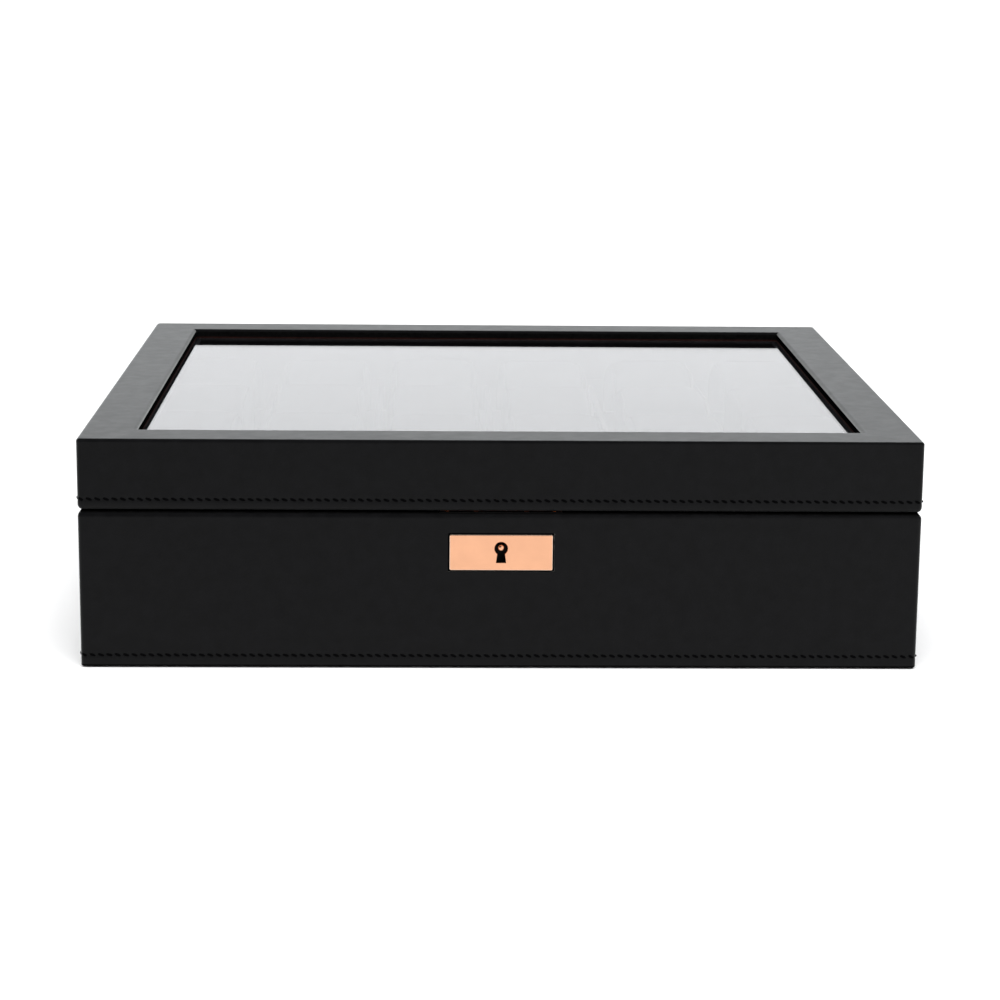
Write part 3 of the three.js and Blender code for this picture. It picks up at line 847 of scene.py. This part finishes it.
class WATCHBOX_OT_linings(bpy.types.Operator):
    """Line the base and the lid with suede"""

    bl_idname = "watchbox.linings"
    bl_label = "Linings"

    def execute(self, context):
        low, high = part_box("base_lining")
        thick = 1.0 * MM
        rim = LID_LOW.z - 0.06 * MM  # up to the closed lid, so that no light gets in between
        tray = filleted(
            [
                (30 * MM, low.z, 0),
                (0, low.z, 0.5 * MM),
                (0, rim, 0.35 * MM),
                (thick, rim, 0.35 * MM),
                (thick, low.z + thick, 1.2 * MM),
                (30 * MM, low.z + thick, 0),
            ],
            closed=False,
        )
        piece = object_of("base_suede", loft(wall_rings(high.x, high.y, 1 * MM, tray), caps=True))
        finish_piece(piece, "charcoal_suede", "base", replaces=["base_lining"])

        low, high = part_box("lid_lining")
        shelf = 1.5 * MM
        reach = high.x - (HALF_X - settings().window_border - 3 * MM)
        section = filleted(
            [
                (0, low.z, 0.35 * MM),
                (0, high.z, 0),
                (reach, high.z, 0.5 * MM),
                (reach, high.z - shelf, 0.5 * MM),
                (thick, high.z - shelf, 1.2 * MM),
                (thick, low.z, 0.35 * MM),
            ],
            closed=True,
        )
        piece = object_of("lid_suede", loft(wall_rings(high.x, high.y, 1 * MM, section), closed=True))
        finish_piece(piece, "charcoal_suede", "lid", replaces=["lid_lining"])
        return {"FINISHED"}


def plank(outline, axis, middle, thickness):
    """A board cut to an outline of (along, height) points that stands across the given axis."""
    bm = bmesh.new()
    sides = []
    for offset in (-thickness / 2, thickness / 2):
        points = [(a, middle + offset, z) if axis == "Y" else (middle + offset, a, z) for a, z in outline]
        sides.append([bm.verts.new(p) for p in points])
    bm.faces.new(sides[0])
    bm.faces.new(list(reversed(sides[1])))
    count = len(outline)
    for i in range(count):
        j = (i + 1) % count
        bm.faces.new((sides[0][i], sides[1][i], sides[1][j], sides[0][j]))
    bmesh.ops.recalc_face_normals(bm, faces=bm.faces)
    return bm


def notched(start, end, bottom, top, notches, from_above):
    """The outline of a plank with a notch to its middle at each crossing."""
    middle = (bottom + top) / 2
    half = 1.8 * MM
    rim, foot = (top, bottom) if from_above else (bottom, top)
    step = 0.15 * MM if from_above else -0.15 * MM
    points = [(start, foot), (start, rim)]
    for at in notches:
        points += [(at - half, rim), (at - half, middle - step), (at + half, middle - step), (at + half, rim)]
    return points + [(end, rim), (end, foot)]


class WATCHBOX_OT_dividers(bpy.types.Operator):
    """Set the suede-covered dividers into each other"""

    bl_idname = "watchbox.dividers"
    bl_label = "Dividers"

    def execute(self, context):
        long_names = [f"long_divider_{i}" for i in range(1, ROWS)]
        cross_names = [f"cross_divider_{i}" for i in range(1, COLUMNS)]
        middles = {n: (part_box(n)[0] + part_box(n)[1]) / 2 for n in long_names + cross_names}
        crossings_x = [middles[n].x for n in cross_names]
        crossings_y = [middles[n].y for n in long_names]
        for name in long_names + cross_names:
            low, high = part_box(name)
            if name in long_names:
                outline = notched(low.x, high.x, low.z, high.z, crossings_x, from_above=True)
                board = plank(outline, "Y", middles[name].y, high.y - low.y)
            else:
                outline = notched(low.y, high.y, low.z, high.z, crossings_y, from_above=False)
                board = plank(outline, "X", middles[name].x, high.x - low.x)
            piece = soften(object_of(name + "_suede", board), 0.7 * MM)
            finish_piece(piece, "charcoal_suede", "base", replaces=[name], angle=math.radians(60))
        return {"FINISHED"}


class WATCHBOX_OT_window_pane(bpy.types.Operator):
    """Set the glass with its ground edges into the lid"""

    bl_idname = "watchbox.window_pane"
    bl_label = "Window Pane"

    def execute(self, context):
        edge = 0.4 * MM
        profile = [
            (6 * MM, GLASS_LOW.z),
            (edge, GLASS_LOW.z),
            (0, GLASS_LOW.z + edge),
            (0, GLASS_HIGH.z - edge),
            (edge, GLASS_HIGH.z),
            (6 * MM, GLASS_HIGH.z),
        ]
        rings = wall_rings(GLASS_HIGH.x, GLASS_HIGH.y, 1 * MM, profile)
        piece = object_of("window_pane", loft(rings, caps=True))
        finish_piece(piece, "window_glass", "lid", replaces=["lid_glass"], angle=math.radians(20))
        piece.visible_shadow = False

        border = settings().window_border
        outer, inner = border - 0.05 * MM, border + 0.4 * MM
        foot, top = GLASS_HIGH.z + 0.02 * MM, GLASS_HIGH.z + 0.5 * MM
        corners = [(outer, foot, 0), (outer, top, 0), (inner, top, 0.2 * MM), (inner, foot, 0)]
        section = filleted(corners, closed=True, steps=2)
        rings = wall_rings(HALF_X, HALF_Y, CORNER_RADIUS, section)
        bead = object_of("glazing_bead", loft(rings, closed=True))
        finish_piece(bead, "glazing_bead", "lid")
        return {"FINISHED"}


# ------------------------------------------------------------------ lock


def keyhole_outline(margin):
    """The keyhole about the middle of its round part, as (across, up) points."""
    radius = 3.1 * MM + margin
    neck, foot, drop = 1.7 * MM + margin, 2.3 * MM + margin, 6.9 * MM + margin
    start = math.asin(neck / radius) - math.pi / 2
    steps = 28
    arc = [start + (math.pi - 2 * start) * i / steps for i in range(steps + 1)]
    return [(foot, -drop), *((radius * math.cos(a), radius * math.sin(a)) for a in arc), (-foot, -drop)]


def lathe_along_y(profile, x, z, steps=40):
    """A turned piece on an axis along Y. The profile's points are (radius, y), from the axis to the axis."""
    bm = bmesh.new()
    rings = []
    for radius, y in profile:
        around = circle(radius, steps) if radius else [(0, 0)]
        rings.append([bm.verts.new((x + a, y, z + b)) for a, b in around])
    for low, high in zip(rings, rings[1:]):
        for i in range(steps):
            j = (i + 1) % steps
            corners = [low[i % len(low)], low[j % len(low)], high[j % len(high)], high[i % len(high)]]
            bm.faces.new(list(dict.fromkeys(corners)))
    bmesh.ops.recalc_face_normals(bm, faces=bm.faces)
    return bm


class WATCHBOX_OT_lock(bpy.types.Operator):
    """Fit the lock: plate with its keyhole, pin, case, bolt and strike"""

    bl_idname = "watchbox.lock"
    bl_label = "Lock"

    def execute(self, context):
        low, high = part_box("lock_plate")
        pin_low, pin_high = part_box("lock_pin")
        middle_z = (low.z + high.z) / 2
        hole_z = (pin_low.z + pin_high.z) / 2
        half_x, half_z = high.x, (high.z - low.z) / 2

        def plate_ring(inset, y, corner, least):
            outline = rounded_rectangle(half_x - inset, half_z - inset, max(corner - inset, least))
            return [(x, y, middle_z + z) for x, z in outline]

        edge = 0.45 * MM
        corners = [(3 * MM, high.y, 0), (0, high.y, 0), (0, low.y, edge), (3 * MM, low.y, 0)]
        profile = filleted(corners, closed=False, steps=4)
        rings = [plate_ring(inset, y, 0.7 * MM, 0.15 * MM) for inset, y in profile]
        plate = object_of("lock_escutcheon", loft(rings, caps=True))
        flare = 0.3 * MM
        sections = (
            (0, high.y + MM),
            (0, low.y + flare),
            (flare * 0.3, low.y + flare * 0.3),
            (flare * 2, low.y - flare),
        )
        bore = [[(x, y, hole_z + z) for x, z in keyhole_outline(margin)] for margin, y in sections]
        boolean(plate, [loft(bore, caps=True)])
        finish_piece(plate, "rose_gold", "base", replaces=["lock_plate"])
        # The bevel round the plate's face takes the lighter rose gold: a painted highlight.
        plate.data.materials.append(finish_of("rose_gold_edge"))
        for face in plate.data.polygons:
            inward = max(abs(face.center.x) - half_x, abs(face.center.z - middle_z) - half_z)
            if inward > -edge and 0.1 < -face.normal.y < 0.97:
                face.material_index = 1

        inner, outer = 0.4 * MM, -0.73 * MM  # insets from the plate's outline
        foot, top = high.y - 0.05 * MM, high.y - 0.7 * MM
        section = ((inner, foot), (outer, foot), (outer, top), (inner, top))
        # A near-black ring in the gap round the plate, below its face: painted shadow.
        dark_outline = loft([plate_ring(inset, y, 0.9 * MM, 0) for inset, y in section], closed=True)
        finish_piece(object_of("lock_gasket", dark_outline), "black_gasket", "base")

        radius, steps = pin_high.x, 8
        angles = [math.pi / 2 * i / steps for i in range(steps)]
        dome = [(radius * math.cos(a), pin_low.y + 0.6 * radius * (1 - math.sin(a))) for a in angles]
        turned = [(0, pin_high.y), (radius, pin_high.y), *dome, (0, pin_low.y)]
        pin = object_of("key_pin", lathe_along_y(turned, 0, hole_z))
        finish_piece(pin, "rose_gold", "base", replaces=["lock_pin"])
        # The lock's case and bolt are coloured near black as painted shade for the gap between the rims.
        dress("lock_case", "blackened_steel")
        dress("lock_bolt", "blackened_steel")
        # The strike's copper is coloured dark as painted shade for the gap between the rims.
        dress("lid_strike", "antique_copper")
        return {"FINISHED"}


# ------------------------------------------------------------------ hinges and screws


SCREW_RADIUS = 1.9 * MM
LEAF_THICKNESS = 1.5 * MM
KNUCKLES = 5


def cylinder_along_x(radius, x0, x1, y, z, chamfer=0.0):
    """A round bar with chamfered ends on an axis along X."""
    ends = ((x0, radius - chamfer), (x0 + chamfer, radius), (x1 - chamfer, radius), (x1, radius - chamfer))
    return loft([[(at, y + a, z + b) for a, b in circle(r, 40)] for at, r in ends], caps=True)


def leaf_screw_points(side, body):
    """Where the screws of one hinge leaf go: their heads are flush with the leaf's open face."""
    low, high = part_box(f"hinge_{side}_{body}_leaf")
    z = BASE_HIGH.z if body == "base" else LID_LOW.z
    y = (low.y + HALF_Y) / 2
    span = (high.x - low.x) * 0.36
    middle = (low.x + high.x) / 2
    return [(middle + span * k, y, z) for k in (-1, 0, 1)]


def countersink(point, down):
    """A cutting cone for a screw head whose face lies at point."""
    x, y, z = point
    sign = -1 if down else 1
    wide, out = SCREW_RADIUS * 1.12, 0.5 * MM
    sections = ((wide + out, -out), (wide, 0.0), (0.9 * MM, 1.1 * MM))
    rings = [[(x + a, y + b, z + sign * depth) for a, b in circle(r, 24)] for r, depth in sections]
    return loft(rings, caps=True)


def hinge_leaf(side, body, axis_y, axis_z, pin_radius):
    """One leaf with its knuckles, countersunk for its screws and bored for the pin."""
    pin_low, pin_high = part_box(f"hinge_{side}_pin")
    low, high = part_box(f"hinge_{side}_{body}_leaf")
    gap = 0.3 * MM
    length = (pin_high.x - pin_low.x - (KNUCKLES - 1) * gap) / KNUCKLES
    z0 = BASE_HIGH.z - LEAF_THICKNESS if body == "base" else LID_LOW.z
    z1 = z0 + LEAF_THICKNESS
    flat = block_mesh((pin_low.x, low.y, z0), (pin_high.x, HALF_Y, z1))
    leaf = object_of(f"hinge_{side}_{body}_leaf_metal", flat)
    arms = []
    for k in range(0 if body == "base" else 1, KNUCKLES, 2):
        left = pin_low.x + k * (length + gap)
        arms.append(block_mesh((left, HALF_Y - MM, z0), (left + length, axis_y, z1)))
        arms.append(cylinder_along_x(high.y - axis_y, left, left + length, axis_y, axis_z, 0.25 * MM))
    boolean(leaf, arms, "UNION")
    boolean(leaf, [countersink(p, body == "base") for p in leaf_screw_points(side, body)])
    bore = cylinder_along_x(pin_radius + 0.08 * MM, pin_low.x - MM, pin_high.x + MM, axis_y, axis_z)
    return boolean(leaf, [bore])


class WATCHBOX_OT_hinges(bpy.types.Operator):
    """Fit the two butt hinges with their pins"""

    bl_idname = "watchbox.hinges"
    bl_label = "Hinges"

    def execute(self, context):
        for side in ("left", "right"):
            low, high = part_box(f"hinge_{side}_pin")
            axis_y, axis_z = (low.y + high.y) / 2, (low.z + high.z) / 2
            radius = high.y - axis_y
            for body in ("base", "lid"):
                leaf = hinge_leaf(side, body, axis_y, axis_z, radius)
                finish_piece(leaf, "rose_gold", body, replaces=[f"hinge_{side}_{body}_leaf"])
            pin = cylinder_along_x(radius, low.x, high.x, axis_y, axis_z, 0.3 * MM)
            pin = object_of(f"hinge_{side}_pin_steel", pin)
            finish_piece(pin, "steel", "base", replaces=[f"hinge_{side}_pin"])
        return {"FINISHED"}


def screw_tree():
    """Geometry nodes that put a screw at every point, each turned to its own angle."""
    tree, names, given, result = start_tree(
        "screw_row",
        {"Screw": ("Object", None), "Flip": ("Float", 0.0), "Seed": ("Int", 5), "Metal": ("Material", None)},
    )
    points = add_node(tree, "GeometryNodeMeshToPoints", {"Mesh": given["Geometry"]}).outputs["Points"]
    spread = {2: 0.0, 3: math.pi, "Seed": given["Seed"]}
    turn = add_node(tree, "FunctionNodeRandomValue", spread, data_type="FLOAT").outputs[1]
    euler = add_node(tree, "ShaderNodeCombineXYZ", {"X": given["Flip"], "Z": turn}).outputs["Vector"]
    shape = add_node(tree, "GeometryNodeObjectInfo", {"Object": given["Screw"]}).outputs["Geometry"]
    row = {"Points": points, "Instance": shape, "Rotation": euler}
    placed = add_node(tree, "GeometryNodeInstanceOnPoints", row).outputs["Instances"]
    end_tree(tree, placed, given["Metal"], result)
    return tree, names


def screw_shape():
    """One countersunk screw head with a slot, its face at the origin and looking up."""
    sections = ((0.8, -1.2), (1.75, -0.25), (1.85, -0.08), (1.75, 0.0))  # radius and height in millimetres
    rings = [[(a, b, z * MM) for a, b in circle(r * MM, 24)] for r, z in sections]
    screw = object_of("screw", loft(rings, caps=True))
    boolean(screw, [block_mesh((-3 * MM, -0.24 * MM, -0.45 * MM), (3 * MM, 0.24 * MM, MM))])
    smooth(screw)
    return screw


class WATCHBOX_OT_screws(bpy.types.Operator):
    """Drive the screws of the hinges, the selvedge and the strike"""

    bl_idname = "watchbox.screws"
    bl_label = "Screws"

    def execute(self, context):
        screw = screw_shape()
        tree, names = screw_tree()
        low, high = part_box("lock_case")
        from_end, proud = 3.6 * MM, 0.12 * MM
        for body, flip, rim in (("base", 0.0, BASE_HIGH.z), ("lid", math.pi, LID_LOW.z)):
            points = [p for side in ("left", "right") for p in leaf_screw_points(side, body)]
            z = rim + (proud if body == "base" else -proud)
            points += [(x, (low.y + high.y) / 2, z) for x in (low.x + from_end, high.x - from_end)]
            bm = bmesh.new()
            for p in points:
                bm.verts.new(p)
            values = {"Screw": screw, "Flip": flip, "Metal": finish_of("rose_gold")}
            piece = run_tree(object_of("screw_points", bm), f"{body}_screws", tree, names, values)
            finish_piece(piece, "rose_gold", body)
        bpy.data.objects.remove(screw)
        return {"FINISHED"}


# ------------------------------------------------------------------ cushions


SEAM_INSET = 5.5 * MM  # from a cushion's flat end to the seam round it
LOOSE = 2.5 * MM  # how much smaller the cover is on each side before it is inflated
LAST_FRAME = 20  # of the simulation


def cushion_start(half, shrink):
    """The bolster before it is inflated, around the origin: half holds half its size along X, Y and Z."""
    x, y, z = (h - shrink for h in half)
    profile = filleted([(20 * MM, -x, 0), (0, -x, 7 * MM), (0, x, 7 * MM), (20 * MM, x, 0)], closed=False)
    rings = [
        [(at, a, b) for a, b in rounded_rectangle(y - inset, z - inset, max(19 * MM - inset, 2 * MM))]
        for inset, at in profile
    ]
    return loft(rings, caps=True)


def inflate(piece, half, pressure):
    """Blows the remeshed cover up with its two seams held, and limits how far each point may move."""
    start = np.array([v.co for v in piece.data.vertices])
    seam = piece.vertex_groups.new(name="seam")
    on_seam = np.abs(np.abs(start[:, 0]) - (half[0] - SEAM_INSET)) < 2.3 * MM
    seam.add([int(i) for i in np.nonzero(on_seam)[0]], 1.0, "REPLACE")
    step = piece.modifiers.new("cover", "CLOTH")
    cloth = step.settings
    cloth.quality = 6
    cloth.mass = 0.25
    cloth.use_pressure = True
    cloth.uniform_pressure_force = pressure
    cloth.effector_weights.gravity = 0
    cloth.tension_stiffness = 12
    cloth.bending_stiffness = 1.5
    cloth.vertex_group_mass = "seam"
    step.point_cache.frame_start, step.point_cache.frame_end = 1, LAST_FRAME
    scene = bpy.context.scene
    for number in range(1, LAST_FRAME + 1):
        scene.frame_set(number)
    settle(piece)
    scene.frame_set(1)
    moved = np.array([v.co for v in piece.data.vertices]) - start
    distance = np.linalg.norm(moved, axis=1, keepdims=True)
    most = 5 * MM
    moved *= np.minimum(1, most / np.maximum(distance, 1e-9))
    piece.data.vertices.foreach_set("co", (start + moved).astype(np.float32).ravel())
    piece.vertex_groups.clear()


def cushion_cover():
    """One finished cover around the origin: inflated, subdivided, and flat underneath."""
    low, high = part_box("pillow_row1_column1")
    half = np.array((high - low) / 2)
    piece = object_of("cover", cushion_start(half, LOOSE))
    step = piece.modifiers.new("remesh", "REMESH")
    step.mode = "VOXEL"
    step.voxel_size = 4 * MM
    settle(piece)
    inflate(piece, half - LOOSE, settings().cushion_pressure)
    step = piece.modifiers.new("subdivide", "SUBSURF")
    step.levels = step.render_levels = 1
    settle(piece)
    co = np.array([v.co for v in piece.data.vertices])
    co *= np.minimum(1.0, half / np.abs(co).max(axis=0))
    floor = -half[2]
    low_band = co[:, 2] < floor + 2.5 * MM
    co[low_band, 2] = floor + (co[low_band, 2] - co[:, 2].min()) * 0.3
    piece.data.vertices.foreach_set("co", co.astype(np.float32).ravel())
    return piece


def seam_loop(cover, at):
    """The outline of the cover where the plane X = at cuts it, in order round the loop."""
    bm = bmesh.new()
    bm.from_mesh(cover.data)
    whole = bm.verts[:] + bm.edges[:] + bm.faces[:]
    cut = bmesh.ops.bisect_plane(bm, geom=whole, plane_co=(at, 0, 0), plane_no=(1, 0, 0))["geom_cut"]
    points = [v.co.copy() for v in cut if isinstance(v, bmesh.types.BMVert)]
    bm.free()
    points.sort(key=lambda p: math.atan2(p.z, p.y))
    return points


def piping(points, radius, count=120, sides=8):
    """A welt along a closed loop of points that lie round the X axis."""
    angles = np.array([math.atan2(p.z, p.y) for p in points])
    reach = np.array([math.hypot(p.y, p.z) for p in points])
    at = points[0].x
    turns = np.linspace(-math.pi, math.pi, count, endpoint=False)
    distance = np.interp(turns, angles, reach, period=2 * math.pi)
    kernel = np.ones(3) / 3
    distance = np.convolve(np.r_[distance[-1:], distance, distance[:1]], kernel, "valid")
    centres = [Vector((at, d * math.cos(t), d * math.sin(t))) for t, d in zip(turns, distance)]
    rings = []
    for i, c in enumerate(centres):
        along = (centres[(i + 1) % count] - centres[i - 1]).normalized()
        side = Vector((1, 0, 0))
        out = along.cross(side).normalized()
        rings.append([c + side * a + out * b for a, b in circle(radius, sides)])
    return loft(rings, closed=True)


class WATCHBOX_OT_cushions(bpy.types.Operator):
    """Stuff, sew and place the cushions"""

    bl_idname = "watchbox.cushions"
    bl_label = "Cushions"

    def execute(self, context):
        s = settings()
        cover = cushion_cover()
        low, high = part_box("pillow_row1_column1")
        half = (high - low) / 2
        bm = bmesh.new()
        bm.from_mesh(cover.data)
        for at in (-half.x + SEAM_INSET, half.x - SEAM_INSET):
            welt = mesh_of("welt", piping(seam_loop(cover, at), 0.75 * MM))
            bm.from_mesh(welt)
            bpy.data.meshes.remove(welt)
        pattern = mesh_of("cushion_pattern", bm)
        bpy.data.objects.remove(cover)
        shape = np.array([v.co for v in pattern.vertices])
        draw = np.random.default_rng(s.cushion_seed)
        for row in range(1, ROWS + 1):
            for column in range(1, COLUMNS + 1):
                node = f"pillow_row{row}_column{column}"
                low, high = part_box(node)
                wave = draw.uniform(-1, 1, (3, 3)) * 60
                phase = draw.uniform(0, 2 * math.pi, 3)
                side = draw.choice([-1, 1], 2)[1]
                co = shape * (1.0, side, 1.0)
                dent = np.stack([np.sin(shape @ wave[k] + phase[k]) for k in range(3)], axis=1) * 0.45 * MM
                dent[:, 2] *= np.clip((shape[:, 2] + half.z) / (20 * MM), 0, 1)
                co = np.clip(co + dent, -np.array(half), np.array(half)) + np.array((low + high) / 2)
                mesh = pattern.copy()
                mesh.vertices.foreach_set("co", co.astype(np.float32).ravel())
                if side < 0:
                    mesh.flip_normals()
                mesh.update()
                piece = linked(f"cushion_row{row}_column{column}", mesh)
                finish_piece(piece, "cushion_leather", node, replaces=[node], angle=math.radians(80))
        bpy.data.meshes.remove(pattern)
        return {"FINISHED"}


# ------------------------------------------------------------------ carcass and stage


class WATCHBOX_OT_carcass(bpy.types.Operator):
    """Give the boards and the foam riser their finish"""

    bl_idname = "watchbox.carcass"
    bl_label = "Boards and Foam"

    def execute(self, context):
        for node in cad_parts:
            if node.endswith("_board") or node == "lid_top_frame":
                dress(node, "fibreboard")
        dress("base_foam_riser", "foam")
        return {"FINISHED"}


SWEEP_LIGHT = 1.17
CEILING_LIGHT = 0.3
AMBIENT_LIGHT = 0.06
OVERHEAD_LIGHT = 4.1
RIGHT_GLOW = 1.6
RIGHT_GLOW_DIRECTION = (0.55, -0.83, 0.1)
CAMERA_PLACE = (-0.0336, -1.4088, 0.3446)
CAMERA_TURN = (12.11, -1.54, 0.56)  # down, about the vertical and about the line of sight, in degrees


def add_camera():
    """The camera looks a little down on the box from in front of it, a hand's breadth left of its middle."""
    data = bpy.data.cameras.new("camera")
    data.sensor_width = 36
    data.lens = 95.2
    data.clip_end = 100
    pitch, yaw, roll = (math.radians(angle) for angle in CAMERA_TURN)
    turn = Matrix.Rotation(yaw, 3, "Z") @ Matrix.Rotation(math.pi / 2 - pitch, 3, "X")
    turn = turn @ Matrix.Rotation(roll, 3, "Z")
    camera = linked("camera", data)
    camera.matrix_world = Matrix.Translation(CAMERA_PLACE) @ turn.to_4x4()
    bpy.context.scene.camera = camera


def add_world():
    """A white studio: a bright sweep behind the box, a soft ceiling, dim sides, and a white backdrop."""
    world = bpy.data.worlds.new("studio")
    world.use_nodes = True
    tree = world.node_tree
    tree.nodes.clear()
    direction = add_node(tree, "ShaderNodeTexCoord").outputs["Generated"]
    axes = add_node(tree, "ShaderNodeSeparateXYZ", {"Vector": direction}).outputs

    def ramp(value, start, end, low, high):
        inputs = {"Value": value, "From Min": start, "From Max": end, "To Min": low, "To Max": high}
        return add_node(tree, "ShaderNodeMapRange", inputs, interpolation_type="SMOOTHSTEP").outputs["Result"]

    def combine(kind, one, other):
        return add_node(tree, "ShaderNodeMath", {0: one, 1: other}, operation=kind).outputs[0]

    above = ramp(axes["Z"], -0.08, 0.0, 0.0, 1.0)
    sweep = combine("MULTIPLY", ramp(axes["Y"], 0.7, 0.93, 0.0, SWEEP_LIGHT), above)
    ceiling = ramp(axes["Z"], 0.35, 0.95, AMBIENT_LIGHT, CEILING_LIGHT)
    pair = {0: direction, 1: RIGHT_GLOW_DIRECTION}
    aside = add_node(tree, "ShaderNodeVectorMath", pair, operation="DOT_PRODUCT").outputs["Value"]
    glow = ramp(aside, 0.72, 1.0, 0.0, RIGHT_GLOW)
    total = combine("ADD", combine("ADD", sweep, ceiling), glow)
    light = add_node(tree, "ShaderNodeBackground", {"Color": (0.985, 0.995, 1.02, 1), "Strength": total})
    seen = add_node(tree, "ShaderNodeBackground", {"Color": (1, 1, 1, 1), "Strength": 1.1})
    rays = add_node(tree, "ShaderNodeLightPath")
    mixed = add_node(tree, "ShaderNodeMixShader", {"Fac": rays.outputs["Is Camera Ray"]})
    tree.links.new(light.outputs[0], mixed.inputs[1])
    tree.links.new(seen.outputs[0], mixed.inputs[2])
    add_node(tree, "ShaderNodeOutputWorld", {"Surface": mixed.outputs[0]})
    bpy.context.scene.world = world


class WATCHBOX_OT_stage(bpy.types.Operator):
    """Set up the pale floor, the soft lights and the camera"""

    bl_idname = "watchbox.stage"
    bl_label = "Stage"

    def execute(self, context):
        floor = object_of("floor", block_mesh((-2.2, -2.6, -0.02), (2.2, 1.1, 0.0)))
        floor.data.materials.append(finish_of("studio_floor"))
        add_world()
        sun = bpy.data.lights.new("overhead", "SUN")
        sun.energy = OVERHEAD_LIGHT
        sun.angle = math.radians(60)
        lamp = linked("overhead", sun)
        lamp.matrix_world = Matrix.Rotation(math.radians(24), 4, "X")
        # Its wide disc has a hard edge, which would show in the glass and on every rounded edge.
        lamp.visible_glossy = lamp.visible_transmission = False
        add_camera()
        context.scene.view_settings.view_transform = "Standard"
        context.scene.view_settings.look = "None"
        return {"FINISHED"}


# ------------------------------------------------------------------ add-on


OPERATORS = (
    WATCHBOX_OT_stage,
    WATCHBOX_OT_carcass,
    WATCHBOX_OT_base_leather,
    WATCHBOX_OT_lid_leather,
    WATCHBOX_OT_stitching,
    WATCHBOX_OT_felt_pad,
    WATCHBOX_OT_linings,
    WATCHBOX_OT_dividers,
    WATCHBOX_OT_window_pane,
    WATCHBOX_OT_lock,
    WATCHBOX_OT_hinges,
    WATCHBOX_OT_screws,
    WATCHBOX_OT_cushions,
)


class WATCHBOX_PT_pieces(bpy.types.Panel):
    """Lists the settings and the pieces of the watch box"""

    bl_idname = "WATCHBOX_PT_pieces"
    bl_label = "Watch Box"
    bl_space_type = "VIEW_3D"
    bl_region_type = "UI"
    bl_category = "Watch Box"

    def draw(self, context):
        for name in WatchBoxSettings.__annotations__:
            self.layout.prop(context.scene.watch_box, name)
        for operator in OPERATORS:
            self.layout.operator(operator.bl_idname)


CLASSES = (WatchBoxSettings, *OPERATORS, WATCHBOX_PT_pieces)


def register():
    for cls in CLASSES:
        bpy.utils.register_class(cls)
    bpy.types.Scene.watch_box = PointerProperty(type=WatchBoxSettings)


def unregister():
    del bpy.types.Scene.watch_box
    for cls in reversed(CLASSES):
        bpy.utils.unregister_class(cls)


def main():
    register()
    for operator in OPERATORS:
        group, name = operator.bl_idname.split(".")
        getattr(getattr(bpy.ops, group), name)()


if __name__ == "__main__":
    main()
